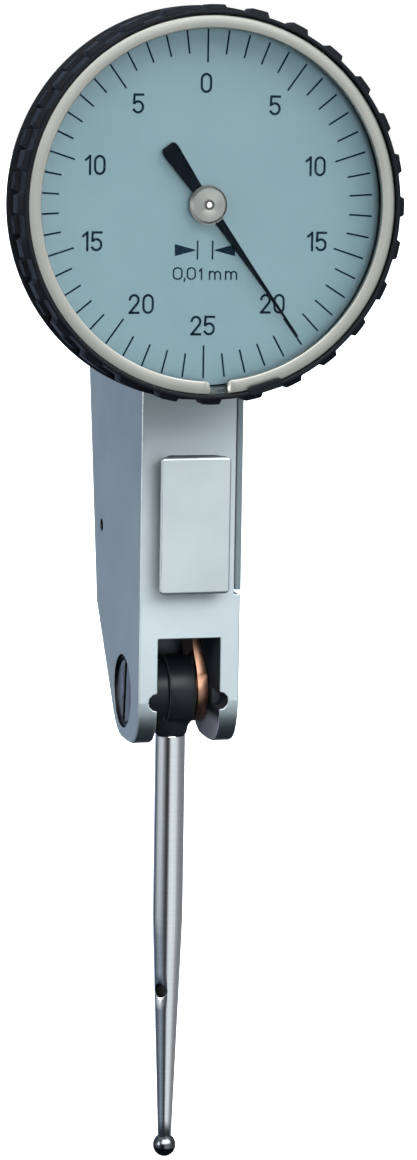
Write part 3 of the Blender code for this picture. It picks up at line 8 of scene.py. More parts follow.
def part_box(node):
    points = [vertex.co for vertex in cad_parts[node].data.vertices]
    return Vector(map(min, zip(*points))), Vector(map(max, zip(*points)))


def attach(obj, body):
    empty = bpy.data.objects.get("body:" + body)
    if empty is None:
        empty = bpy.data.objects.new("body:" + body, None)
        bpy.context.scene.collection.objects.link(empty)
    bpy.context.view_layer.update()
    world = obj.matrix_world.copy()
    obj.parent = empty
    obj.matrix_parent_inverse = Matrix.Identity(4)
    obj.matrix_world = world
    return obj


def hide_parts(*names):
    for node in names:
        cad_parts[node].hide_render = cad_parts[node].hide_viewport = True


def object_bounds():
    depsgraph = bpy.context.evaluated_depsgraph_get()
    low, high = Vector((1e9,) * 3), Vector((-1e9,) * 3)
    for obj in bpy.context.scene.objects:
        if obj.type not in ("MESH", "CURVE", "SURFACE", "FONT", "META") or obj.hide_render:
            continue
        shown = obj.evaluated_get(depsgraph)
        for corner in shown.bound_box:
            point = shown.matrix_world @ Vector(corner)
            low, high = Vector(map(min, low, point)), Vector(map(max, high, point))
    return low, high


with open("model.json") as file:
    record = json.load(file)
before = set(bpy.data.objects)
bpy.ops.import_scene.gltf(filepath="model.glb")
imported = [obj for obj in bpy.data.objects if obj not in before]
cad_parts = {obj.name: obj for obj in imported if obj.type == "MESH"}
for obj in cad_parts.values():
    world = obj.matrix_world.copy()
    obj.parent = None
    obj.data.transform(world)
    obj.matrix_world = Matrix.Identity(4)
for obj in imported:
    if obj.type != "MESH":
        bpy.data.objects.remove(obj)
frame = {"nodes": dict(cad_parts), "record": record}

cad_low, cad_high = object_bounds()
nodes = frame["nodes"]
slots = {entry["node"]: entry.get("material_slot") for entry in frame["record"]["subparts"]}

# The camera, as it stood for the picture
CAMERA_PLACE = Vector((-0.070472, -0.268884, 0.036771))
CAMERA_YAW = math.radians(14.881)
CAMERA_PITCH = math.radians(-6.455)
CAMERA_ROLL = math.radians(0.894)
CAMERA_LENS = 104.47
CAMERA_SHIFT_X = 0.0003
CAMERA_SHIFT_Y = -0.1011

# Head: dial, ring and grip
DIAL_X = -0.001
DIAL_Z = 0.02693
DIAL_PLACE = (DIAL_X, 0.0, DIAL_Z)
GRIP_RADIUS = 0.016
RECESS_RADIUS = 0.01525
RING_OUTER = 0.01515
RING_INNER = 0.01412
WALL_RADIUS = 0.01475
DIAL_RADIUS = 0.01465

# Fork and stylus
PIVOT = Vector((0.0, 0.00765, -0.01517))
BODY_FRONT = 0.00165
TOE_RADIUS = 0.004
TOE_FULLNESS = 2.6
SLOT_REACH = 0.0039

# The ways in which a piece made along Z is turned to its place
FACE_ON = (math.radians(90), 0.0, 0.0)
SIDE_ON = (0.0, math.radians(90), 0.0)
UPWARDS = (0.0, 0.0, 1.0)


def make_camera():
    """The camera and its aim, from yaw, pitch and roll."""
    ahead = Vector((
        math.sin(CAMERA_YAW) * math.cos(CAMERA_PITCH),
        math.cos(CAMERA_YAW) * math.cos(CAMERA_PITCH),
        math.sin(CAMERA_PITCH),
    ))
    level = Vector((math.cos(CAMERA_YAW), -math.sin(CAMERA_YAW), 0.0))
    above = level.cross(ahead)
    right = level * math.cos(CAMERA_ROLL) + above * math.sin(CAMERA_ROLL)
    up = above * math.cos(CAMERA_ROLL) - level * math.sin(CAMERA_ROLL)
    turn = Matrix((right, up, -ahead)).transposed()
    data = bpy.data.cameras.new("camera")
    data.lens = CAMERA_LENS
    data.shift_x = CAMERA_SHIFT_X
    data.shift_y = CAMERA_SHIFT_Y
    data.clip_start = 0.01
    data.clip_end = 20.0
    camera = bpy.data.objects.new("camera", data)
    camera.matrix_world = Matrix.Translation(CAMERA_PLACE) @ turn.to_4x4()
    bpy.context.scene.collection.objects.link(camera)
    bpy.context.scene.camera = camera


def soft_light(name, place, aim, size, power, colour):
    """A square soft box that faces the point it is aimed at."""
    data = bpy.data.lights.new(name, "AREA")
    data.shape = "RECTANGLE"
    data.size = data.size_y = size
    data.energy = power
    data.color = colour
    light = bpy.data.objects.new(name, data)
    light.location = place
    light.rotation_euler = (Vector(aim) - Vector(place)).to_track_quat("-Z", "Y").to_euler()
    light.visible_camera = False
    bpy.context.scene.collection.objects.link(light)
    return light


def add(tree, kind, **settings):
    """A node of one kind with its settings."""
    made = tree.nodes.new(kind)
    for name, value in settings.items():
        setattr(made, name, value)
    return made


def feed(tree, socket, value):
    """Links a result to a socket, or sets a plain value on it."""
    if hasattr(value, "is_linked"):
        tree.links.new(value, socket)
    else:
        socket.default_value = value


def feed_all(tree, node, values):
    """Feeds a node's sockets from pairs of title and value, and returns the node."""
    for title, value in values:
        feed(tree, node.inputs[title], value)
    return node


def new_group(name, given, results):
    """A shader group, its inputs and its outputs. An input without a value is a vector."""
    group = bpy.data.node_groups.new(name, "ShaderNodeTree")
    for title, value in given.items():
        kind = "NodeSocketVector" if value is None else "NodeSocketFloat"
        socket = group.interface.new_socket(title, in_out="INPUT", socket_type=kind)
        if value is not None:
            socket.default_value = value
    for title in results:
        group.interface.new_socket(title, in_out="OUTPUT", socket_type="NodeSocketFloat")
    return group, add(group, "NodeGroupInput").outputs, add(group, "NodeGroupOutput").inputs


def maths(tree, operation, *values):
    """One sum on values or sockets, and its result."""
    made = add(tree, "ShaderNodeMath", operation=operation)
    return feed_all(tree, made, enumerate(values)).outputs[0]


def vector_maths(tree, operation, *values):
    """One sum on vectors, and its result."""
    made = add(tree, "ShaderNodeVectorMath", operation=operation)
    feed_all(tree, made, enumerate(values))
    return made.outputs["Value" if operation in ("LENGTH", "DOT_PRODUCT") else "Vector"]


def object_place(tree):
    """Where a point lies on its piece."""
    return add(tree, "ShaderNodeTexCoord").outputs["Object"]


def along_axes(tree, where):
    """The three parts of a place."""
    return feed_all(tree, add(tree, "ShaderNodeSeparateXYZ"), [(0, where)]).outputs


def reach(tree, centre, axes):
    """How far a point lies from a centre, counted along some axes only."""
    shifted = vector_maths(tree, "SUBTRACT", object_place(tree), centre)
    return vector_maths(tree, "LENGTH", vector_maths(tree, "MULTIPLY", shifted, axes))


def ramp(tree, value, low, high, low_out=0.0, high_out=1.0):
    """A value spread from one range onto another, held at its ends."""
    made = add(tree, "ShaderNodeMapRange", clamp=True)
    return feed_all(tree, made, [
        ("Value", value), ("From Min", low), ("From Max", high), ("To Min", low_out), ("To Max", high_out)
    ]).outputs["Result"]


def noise(tree, where, scale, detail=2.0, roughness=0.5):
    """A noise value at a place."""
    made = add(tree, "ShaderNodeTexNoise", noise_dimensions="3D")
    return feed_all(tree, made, [
        ("Vector", where), ("Scale", scale), ("Detail", detail), ("Roughness", roughness)
    ]).outputs["Fac"]


def colour_mix(tree, share, first, second):
    """A colour between two, by a share from 0 to 1."""
    made = add(tree, "ShaderNodeMix", data_type="RGBA")
    colours = [value if hasattr(value, "is_linked") else (*value, 1.0) for value in (first, second)]
    return feed_all(tree, made, [(0, share), (6, colours[0]), (7, colours[1])]).outputs[2]


def edge_group():
    """A mask that rises on a piece's outer edges, broken up as by handling."""
    group, given, result = new_group("worn_edges", {"Radius": 0.0001, "Breakup": 3000.0}, ["Mask"])
    rounded = add(group, "ShaderNodeBevel", samples=6)
    feed(group, rounded.inputs["Radius"], given["Radius"])
    flat = add(group, "ShaderNodeNewGeometry").outputs["True Normal"]
    bend = ramp(group, vector_maths(group, "DOT_PRODUCT", rounded.outputs["Normal"], flat), 0.995, 0.86)
    patches = noise(group, object_place(group), given["Breakup"], 3.0, 0.6)
    broken = ramp(group, patches, 0.35, 0.65, 0.35, 1.0)
    feed(group, result["Mask"], maths(group, "MULTIPLY", bend, broken))
    return group


def grain_group():
    """The fine grain of a blasted or moulded surface, with wider cloudy patches."""
    group, given, result = new_group("fine_grain", {"Grain": 16000.0, "Clouds": 220.0}, ["Grain", "Clouds"])
    where = object_place(group)
    fine = noise(group, where, given["Grain"], 3.0, 0.65)
    wide = noise(group, where, given["Clouds"], 4.0, 0.55)
    feed(group, result["Grain"], ramp(group, fine, 0.25, 0.75))
    feed(group, result["Clouds"], ramp(group, wide, 0.3, 0.7))
    return group


def brushed_group():
    """Long fine scratches along one way, as a fine abrasive leaves them."""
    group, given, result = new_group("brushed_lines", {"Stretch": None, "Lines": 9000.0}, ["Lines"])
    drawn = vector_maths(group, "MULTIPLY", object_place(group), given["Stretch"])
    lines = noise(group, drawn, given["Lines"], 4.0, 0.7)
    feed(group, result["Lines"], ramp(group, lines, 0.25, 0.75))
    return group


def rings_group():
    """Fine turning marks that follow each other outwards or along, with a little noise in their spacing."""
    given = {"Centre": None, "Across": None, "Marks": 9000.0}
    group, given, result = new_group("turning_marks", given, ["Marks"])
    along = add(group, "ShaderNodeCombineXYZ")
    feed(group, along.inputs["X"], reach(group, given["Centre"], given["Across"]))
    marks = noise(group, along.outputs["Vector"], given["Marks"], 3.0, 0.7)
    feed(group, result["Marks"], ramp(group, marks, 0.25, 0.75))
    return group


EFFECTS = {"edges": edge_group(), "grain": grain_group(), "brushed": brushed_group(), "rings": rings_group()}


def effect(tree, name, **values):
    """The results of one shared effect, placed in a material with its own values."""
    return feed_all(tree, add(tree, "ShaderNodeGroup", node_tree=EFFECTS[name]), values.items()).outputs


def start_material(name, metallic, specular=0.5):
    """A material, its nodes and its one Principled shader."""
    material = bpy.data.materials.new(name)
    material.use_nodes = True
    shader = material.node_tree.nodes["Principled BSDF"]
    feed_all(material.node_tree, shader, [("Metallic", metallic), ("Specular IOR Level", specular)])
    return material, material.node_tree, shader


def coat(tree, shader, colour, roughness, height=None, strength=0.0, depth=0.0):
    """Feeds a shader its colour and its roughness, and fine relief from a height value."""
    feed_all(tree, shader, [("Base Color", colour), ("Roughness", roughness)])
    if height is not None:
        relief = add(tree, "ShaderNodeBump")
        feed_all(tree, relief, [("Strength", strength), ("Distance", depth), ("Height", height)])
        feed(tree, shader.inputs["Normal"], relief.outputs["Normal"])


def spread(tree, value, low, high):
    """A value from 0 to 1 spread between two others."""
    return ramp(tree, value, 0.0, 1.0, low, high)


def satin_metal(name, dark, light, worn, rough, relief, edge_radius=0.00012):
    """Fine blasted or ground metal: clouded tone, fine grain, edges rubbed brighter."""
    material, tree, shader = start_material(name, 1.0)
    grain = effect(tree, "grain", Grain=15000.0, Clouds=190.0)
    edges = effect(tree, "edges", Radius=edge_radius, Breakup=2600.0)
    tone = colour_mix(tree, grain["Clouds"], dark, light)
    rubbed = colour_mix(tree, edges["Mask"], tone, worn)
    grained = spread(tree, grain["Grain"], rough - 0.05, rough + 0.05)
    clouded = maths(tree, "MULTIPLY_ADD", grain["Clouds"], 0.05, grained)
    worn_in = maths(tree, "MULTIPLY_ADD", edges["Mask"], -0.16, clouded)
    coat(tree, shader, rubbed, worn_in, grain["Grain"], relief, 0.00002)
    return material


def turned_metal(name, dark, light, rough, centre, across, marks, relief):
    """Metal finished on a lathe, its fine marks running round an axis."""
    material, tree, shader = start_material(name, 1.0)
    rings = effect(tree, "rings", Centre=centre, Across=across, Marks=marks)["Marks"]
    grain = effect(tree, "grain", Grain=12000.0, Clouds=260.0)
    edges = effect(tree, "edges", Radius=0.00006, Breakup=3000.0)
    tone = colour_mix(tree, rings, dark, light)
    rubbed = colour_mix(tree, edges["Mask"], tone, tuple(min(1.0, part * 1.15) for part in light))
    marked = spread(tree, rings, rough - 0.04, rough + 0.05)
    clouded = maths(tree, "MULTIPLY_ADD", grain["Clouds"], 0.06, marked)
    coat(tree, shader, rubbed, clouded, rings, relief, 0.000008)
    return material


def moulded_black(name, dark, light, worn, rough, relief, edge_radius, sheen):
    """Black plastic or oxide: faint blue-grey sheen, fine grain, edges rubbed lighter."""
    material, tree, shader = start_material(name, 0.0, sheen)
    grain = effect(tree, "grain", Grain=9000.0, Clouds=420.0)
    edges = effect(tree, "edges", Radius=edge_radius, Breakup=2200.0)
    tone = colour_mix(tree, grain["Clouds"], dark, light)
    rubbed = colour_mix(tree, edges["Mask"], tone, worn)
    grained = spread(tree, grain["Grain"], rough - 0.06, rough + 0.06)
    clouded = maths(tree, "MULTIPLY_ADD", grain["Clouds"], 0.1, grained)
    coat(tree, shader, rubbed, clouded, grain["Grain"], relief, 0.000018)
    return material


def dial_paint():
    """Pale blue-grey satin paint on metal, with fine level brush lines and a painted shade that darkens it
    towards the rim, under the ring's wall.
    """
    material, tree, shader = start_material("dial_paint", 0.0, 0.35)
    lines = effect(tree, "brushed", Stretch=(0.05, 1.0, 1.0), Lines=5200.0)["Lines"]
    grain = effect(tree, "grain", Grain=11000.0, Clouds=150.0)
    tone = colour_mix(tree, grain["Clouds"], (0.052, 0.084, 0.096), (0.058, 0.091, 0.104))
    lined = colour_mix(tree, spread(tree, lines, 0.0, 0.35), tone, (0.063, 0.099, 0.114))
    # Painted shade: the paint darkens over the last millimetre to the rim, where the ring's wall shades the
    # dial
    rim = ramp(tree, reach(tree, DIAL_PLACE, ACROSS_DIAL), 0.0136, 0.0146, 0.0, 0.2)
    shaded = colour_mix(tree, rim, lined, (0.05, 0.071, 0.088))
    coat(tree, shader, shaded, spread(tree, lines, 0.36, 0.5), lines, 0.12, 0.000008)
    return material


def dial_ink():
    """Printed dark ink, a little uneven in depth."""
    material, tree, shader = start_material("dial_ink", 0.0, 0.02)
    grain = effect(tree, "grain", Grain=14000.0, Clouds=900.0)
    tone = colour_mix(tree, grain["Clouds"], (0.0015, 0.004, 0.008), (0.004, 0.009, 0.014))
    coat(tree, shader, tone, spread(tree, grain["Grain"], 0.45, 0.62), grain["Grain"], 0.1, 0.000006)
    return material


def clear_glass():
    """Clear polished window that lets light through to the dial, with a faintly uneven tint."""
    material, tree, shader = start_material("clear_glass", 0.0)
    feed_all(tree, shader, [("Transmission Weight", 1.0), ("IOR", GLASS_BEND)])
    grain = effect(tree, "grain", Grain=5200.0, Clouds=330.0)
    coat(tree, shader, colour_mix(tree, grain["Clouds"], (0.975, 0.985, 0.99), (0.99, 1.0, 1.0)), 0.0)
    path = add(tree, "ShaderNodeLightPath").outputs
    clear = add(tree, "ShaderNodeBsdfTransparent").outputs["BSDF"]
    let_through = maths(tree, "MAXIMUM", path["Is Shadow Ray"], path["Is Diffuse Ray"])
    both = feed_all(
        tree, add(tree, "ShaderNodeMixShader"), [(0, let_through), (1, shader.outputs["BSDF"]), (2, clear)]
    )
    leave = next(node for node in tree.nodes if node.type == "OUTPUT_MATERIAL")
    feed(tree, leave.inputs["Surface"], both.outputs["Shader"])
    return material


def fork_inside():
    """The walls inside the fork, in painted shade and painted reflection: near black about the pivot, dark
    slate above it, and a paler grey painted as lit towards the ends of the ears.
    """
    material, tree, shader = start_material("inside_painted_shade", 0.0, 0.06)
    grain = effect(tree, "grain", Grain=15000.0, Clouds=300.0)
    height = along_axes(tree, object_place(tree))["Z"]
    # Painted light: the ears' lower ends turn pale grey, as where light reaches them
    lit_lower_share = ramp(tree, height, PIVOT.z - 0.0013, PIVOT.z - 0.0021)
    high = ramp(tree, height, PIVOT.z + 0.0012, PIVOT.z + 0.0026)
    # Painted shade and painted reflection: near black about the pivot, where the wall mirrors the black
    # knuckle, dark slate higher up
    black = colour_mix(tree, high, (0.004, 0.005, 0.007), (0.014, 0.019, 0.026))
    tone = colour_mix(tree, lit_lower_share, black, (0.17, 0.175, 0.22))
    clouded = colour_mix(tree, spread(tree, grain["Clouds"], 0.0, 0.2), tone, (0.1, 0.1, 0.12))
    coat(tree, shader, clouded, spread(tree, grain["Grain"], 0.66, 0.8), grain["Grain"], 0.2, 0.00002)
    return material


def floor_finish():
    """A plain pale studio floor."""
    material, tree, shader = start_material("pale_floor", 0.0, 0.2)
    clouds = noise(tree, object_place(tree), 3.0)
    coat(tree, shader, colour_mix(tree, clouds, (0.93, 0.93, 0.93), (0.95, 0.95, 0.95)), 0.8)
    feed_all(tree, shader, [("Emission Color", (1.0, 1.0, 1.0, 1.0)), ("Emission Strength", 0.72)])
    return material


GLASS_BEND = 1.03
ACROSS_DIAL = (1.0, 0.0, 1.0)
ACROSS_AXLE = (0.0, 1.0, 1.0)

FINISH = {
    "dial_paint": dial_paint(), "dial_ink": dial_ink(),
    # The inside of the fork carries painted shade and painted reflection
    "clear_glass": clear_glass(), "inside_painted_shade": fork_inside(),
}

# Satin metals: dark and light tone, worn tone, roughness, relief and the width of the worn edges
for title, *looks in (
    ("pale_chrome", (0.45, 0.51, 0.54), (0.505, 0.57, 0.6), (0.58, 0.64, 0.665), 0.56, 0.22),
    # Painted shade: a darker copy of the chrome for the side plate's front edge
    ("cover_edge_painted_shade", (0.17, 0.215, 0.24), (0.21, 0.255, 0.28), (0.28, 0.33, 0.36), 0.48, 0.22),
    ("toe_chrome", (0.4, 0.47, 0.5), (0.46, 0.53, 0.56), (0.54, 0.6, 0.63), 0.36, 0.2),
    # Painted shade for the top and left flanks of the dovetails
    ("flank_painted_shade", (0.025, 0.032, 0.036), (0.045, 0.054, 0.06), (0.1, 0.115, 0.12), 0.5, 0.22),
    ("ground_chrome", (0.46, 0.515, 0.535), (0.51, 0.565, 0.58), (0.6, 0.65, 0.67), 0.44, 0.18),
    # Painted shade for the recess that holds the glass, seen through the ring's split
    ("seat_painted_shade", (0.028, 0.034, 0.035), (0.042, 0.05, 0.051), (0.06, 0.066, 0.066), 0.5, 0.12),
    ("dulled_steel", (0.17, 0.165, 0.18), (0.26, 0.25, 0.27), (0.5, 0.5, 0.52), 0.36, 0.2, 0.00008),
    # Painted shade for hollows: the cap's hollow and the stem's cross hole
    ("hollow_painted_shade", (0.045, 0.045, 0.042), (0.08, 0.08, 0.075), (0.12, 0.12, 0.11), 0.4, 0.2, 0.00004),
    ("pip_metal", (0.13, 0.125, 0.1), (0.17, 0.165, 0.135), (0.2, 0.195, 0.16), 0.45, 0.2, 0.00004),
    # Painted shade for bores, grooves and the dowel's end in its hole
    ("bore_painted_shade", (0.02, 0.022, 0.026), (0.035, 0.038, 0.044), (0.08, 0.085, 0.095), 0.4, 0.2, 0.00004),
    ("lever_bronze", (0.33, 0.17, 0.115), (0.44, 0.25, 0.17), (0.6, 0.38, 0.27), 0.32, 0.2, 0.00008),
    ("gear_brass", (0.56, 0.41, 0.17), (0.7, 0.52, 0.24), (0.84, 0.68, 0.38), 0.28, 0.15, 0.00006),
    ("case_aluminium", (0.5, 0.51, 0.53), (0.62, 0.63, 0.65), (0.8, 0.81, 0.82), 0.38, 0.2),
):
    FINISH[title] = satin_metal(title, *looks)

# Turned metals: dark and light tone, roughness, centre, the axes that their marks follow, marks and relief
for title, *looks in (
    ("stem_steel", (0.72, 0.74, 0.76), (0.84, 0.855, 0.87), 0.14, PIVOT, UPWARDS, 5200.0, 0.1),
    ("ball_steel", (0.13, 0.14, 0.155), (0.165, 0.175, 0.19), 0.08, PIVOT, UPWARDS, 9000.0, 0.03),
    ("ring_nickel", (0.29, 0.29, 0.265), (0.37, 0.37, 0.34), 0.36, DIAL_PLACE, ACROSS_DIAL, 14000.0, 0.2),
    ("cap_nickel", (0.108, 0.114, 0.108), (0.14, 0.144, 0.135), 0.3, DIAL_PLACE, ACROSS_DIAL, 16000.0, 0.2),
    ("axle_steel", (0.45, 0.45, 0.47), (0.58, 0.58, 0.6), 0.24, PIVOT, ACROSS_AXLE, 12000.0, 0.2),
):
    FINISH[title] = turned_metal(title, *looks)

# Blacks: dark and light tone, worn tone, roughness, relief, width of the worn edges and sheen
for title, *looks in (
    ("grip_black", (0.0021, 0.0027, 0.0039), (0.0036, 0.0045, 0.0063), (0.006, 0.0078, 0.0102),
     0.46, 0.3, 0.00012, 0.07),
    ("needle_black", (0.0009, 0.0015, 0.0024), (0.0018, 0.0027, 0.0042), (0.0018, 0.0024, 0.003),
     0.5, 0.2, 0.00004, 0.012),
    ("knuckle_black", (0.0025, 0.0035, 0.0045), (0.005, 0.0065, 0.0075), (0.02, 0.024, 0.028),
     0.3, 0.25, 0.00008, 0.18),
):
    FINISH[title] = moulded_black(title, *looks)

FINISH_OF_SLOT = {
    "satin_chrome": "pale_chrome", "bright_steel": "axle_steel", "bright_nickel": "ring_nickel",
    "dark_steel": "dulled_steel", "black_plastic": "grip_black", "black_paint": "needle_black",
    "pale_dial": "dial_paint", "crystal": "clear_glass", "brass": "gear_brass", "bronze": "lever_bronze",
    "aluminium": "case_aluminium",
}


def clear_hands():
    """Leaves edit mode and deselects everything."""
    if bpy.context.mode != "OBJECT":
        bpy.ops.object.mode_set(mode="OBJECT")
    bpy.ops.object.select_all(action="DESELECT")


def take(piece):
    """Makes one piece the only selected and active one."""
    clear_hands()
    piece.select_set(True)
    bpy.context.view_layer.objects.active = piece


def edit(kind=None):
    """Opens the piece in hand in edit mode, if wanted with another kind of selection."""
    bpy.ops.object.mode_set(mode="EDIT")
    if kind:
        bpy.ops.mesh.select_mode(type=kind)


def edit_all(piece, kind=None):
    """Opens a piece in edit mode with all of it selected."""
    take(piece)
    edit(kind)
    bpy.ops.mesh.select_all(action="SELECT")


def leave_edit():
    """Goes back from edit mode to whole pieces."""
    bpy.ops.object.mode_set(mode="OBJECT")


def unpick(piece):
    """Takes a piece with nothing on it selected."""
    take(piece)
    for part in (piece.data.vertices, piece.data.edges, piece.data.polygons):
        part.foreach_set("select", [False] * len(part))


def pick_faces(piece, wanted):
    """Selects the faces that a test on centre and normal picks, ready for edit mode."""
    unpick(piece)
    for face in piece.data.polygons:
        face.select = wanted(face.center, face.normal)


def new_piece(name):
    """The blank that was just made, under its name."""
    piece = bpy.context.object
    piece.name = name
    return piece


def extrude(way):
    """Draws what is selected out along a way."""
    bpy.ops.mesh.extrude_region_move(TRANSFORM_OT_translate={"value": way})


def slice_level(height, **kept):
    """Cuts what is selected with a level plane."""
    bpy.ops.mesh.bisect(plane_co=(0.0, 0.0, height), plane_no=UPWARDS, **kept)


def apply_modifier(piece, kind, **settings):
    """Adds one modifier and applies it."""
    take(piece)
    made = piece.modifiers.new("shape", kind)
    for name, value in settings.items():
        setattr(made, name, value)
    bpy.ops.object.modifier_apply(modifier=made.name)


def smooth(piece, angle=35.0):
    """Smooth shading that breaks at sharp edges, with the flats kept flat."""
    take(piece)
    bpy.ops.object.shade_smooth_by_angle(angle=math.radians(angle))
    apply_modifier(piece, "WEIGHTED_NORMAL", mode="FACE_AREA", weight=60, keep_sharp=True)


def soften(piece, width, segments=2, angle=35.0):
    """Rounds the sharp edges of a piece and shades it."""
    apply_modifier(
        piece, "BEVEL", width=width, segments=segments, limit_method="ANGLE",
        angle_limit=math.radians(angle), use_clamp_overlap=False, miter_outer="MITER_ARC"
    )
    smooth(piece)


def round_corners(piece, radius):
    """Rounds only the sharp upright edges of a piece that still lies flat."""
    unpick(piece)
    points = piece.data.vertices
    sides = {}
    for face in piece.data.polygons:
        for key in face.edge_keys:
            sides.setdefault(key, []).append(face.normal)
    for line in piece.data.edges:
        first, second = (points[i].co for i in line.vertices)
        upright = (first - second).xy.length < 1e-7
        normals = sides[line.key]
        line.select = upright and len(normals) == 2 and normals[0].dot(normals[1]) < 0.5
    edit("EDGE")
    bpy.ops.mesh.bevel(offset=radius, segments=6, affect="EDGES")
    leave_edit()


def settle(piece, turn=(0.0, 0.0, 0.0), place=(0.0, 0.0, 0.0)):
    """Turns and moves a piece to its place, and puts the place in its mesh."""
    take(piece)
    piece.rotation_euler = turn
    piece.location = place
    bpy.ops.object.transform_apply(location=True, rotation=True, scale=True)


def tidy_shell(piece, distance=1e-7):
    """Merges doubles and points every face outwards."""
    edit_all(piece)
    bpy.ops.mesh.remove_doubles(threshold=distance)
    bpy.ops.mesh.normals_make_consistent(inside=False)
    leave_edit()


def turned(name, profile, steps, closed=False):
    """A turned blank along Z, drawn through radius and height pairs. A closed one is a ring."""
    clear_hands()
    radius, height = profile[0]
    bpy.ops.mesh.primitive_circle_add(
        vertices=steps, radius=radius, fill_type="NOTHING" if closed else "NGON", enter_editmode=True
    )
    piece = new_piece(name)
    bpy.ops.mesh.select_mode(type="VERT")
    bpy.ops.mesh.select_all(action="SELECT")
    bpy.ops.transform.translate(value=(0.0, 0.0, height))
    for next_radius, next_height in profile[1:] + (profile[:1] if closed else []):
        extrude((0.0, 0.0, next_height - height))
        share = next_radius / radius
        bpy.ops.transform.resize(value=(share, share, 1.0), center_override=(0.0, 0.0, 0.0))
        radius, height = next_radius, next_height
    leave_edit()
    tidy_shell(piece)
    return piece


def flat_ring(name, inner, outer, back, front, steps):
    """A turned ring with a square section."""
    return turned(name, [(inner, back), (outer, back), (outer, front), (inner, front)], steps, closed=True)


def block(name, low, high):
    """A rectangular blank between two corners."""
    clear_hands()
    bpy.ops.mesh.primitive_cube_add(size=1.0, enter_editmode=True)
    piece = new_piece(name)
    size = [b - a for a, b in zip(low, high)]
    middle = [(a + b) / 2 for a, b in zip(low, high)]
    bpy.ops.transform.resize(value=size, center_override=(0.0, 0.0, 0.0))
    bpy.ops.transform.translate(value=middle)
    leave_edit()
    return piece


def flat_strip(rows):
    """A flat strip through rows of two points each."""
    clear_hands()
    bpy.ops.mesh.primitive_grid_add(x_subdivisions=1, y_subdivisions=len(rows) - 1, size=0.001)
    strip = bpy.context.object
    for vertex, point in zip(strip.data.vertices, (point for row in rows for point in row)):
        vertex.co = (*point, 0.0)
    return strip


def cut_away(piece, *tools, operation="DIFFERENCE"):
    """Cuts tools out of a piece and removes them."""
    for tool in tools:
        apply_modifier(piece, "BOOLEAN", operation=operation, object=tool, solver="EXACT")
        bpy.data.objects.remove(tool)


def unite(piece, part):
    """Joins a solid to a piece as one shell."""
    cut_away(piece, part, operation="UNION")


def dressed_copy(node, name, width, segments=2, reshape=None):
    """A copy of a CAD node, its corners merged, its flats cleaned and its edges rounded."""
    piece = bpy.data.objects.new(name, nodes[node].data.copy())
    bpy.context.scene.collection.objects.link(piece)
    piece.data.materials.clear()
    edit_all(piece)
    bpy.ops.mesh.remove_doubles(threshold=5e-7)
    bpy.ops.mesh.dissolve_limited(angle_limit=math.radians(0.6))
    bpy.ops.mesh.customdata_custom_splitnormals_clear()
    leave_edit()
    if reshape:
        for vertex in piece.data.vertices:
            vertex.co = reshape(vertex.co)
    if width:
        soften(piece, width, segments, 38.0)
    else:
        smooth(piece)
    return piece


def finish_faces(piece, faces, finish):
    """Gives some faces of a dressed piece a second finish."""
    piece.data.materials.append(FINISH[finish])
    place = len(piece.data.materials) - 1
    for face in faces:
        piece.data.polygons[face].material_index = place


def dress(piece, finish, body, *stands_for):
    """Gives a piece its finish, its body and the CAD nodes it stands for."""
    piece.data.materials.clear()
    piece.data.materials.append(FINISH[finish])
    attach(piece, body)
    if stands_for:
        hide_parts(*stands_for)


def clothe_cad_nodes():
    """Every CAD node that stays on show gets the full finish of its slot."""
    for name, node in nodes.items():
        finish = FINISH[FINISH_OF_SLOT[slots[name]]]
        for place in node.material_slots:
            place.material = finish
        if not node.material_slots:
            node.data.materials.append(finish)


def fuller_toe(place):
    """Moves a point of the ears' rounded toes onto a squarer curve. The other points stay."""
    ahead = BODY_FRONT + TOE_RADIUS - place.y
    below = PIVOT.z - place.z
    if ahead < 0.00001 or below < 0.00001 or abs(math.hypot(ahead, below) - TOE_RADIUS) > 0.00005:
        return place
    fuller = max(1 - (below / TOE_RADIUS) ** TOE_FULLNESS, 0.0) ** (1 / TOE_FULLNESS)
    return Vector((place.x, BODY_FRONT + TOE_RADIUS * (1 - fuller), place.z))


GROUND_SKIN = 0.0007
SCREW_BORE = 0.0034
SCREW_BORE_X = -0.0034
PIN_BORE = 0.00072
PIN_BORE_X = -0.003
SLOT_FOOT = -0.0043
SLOT_HEAD = 0.0062


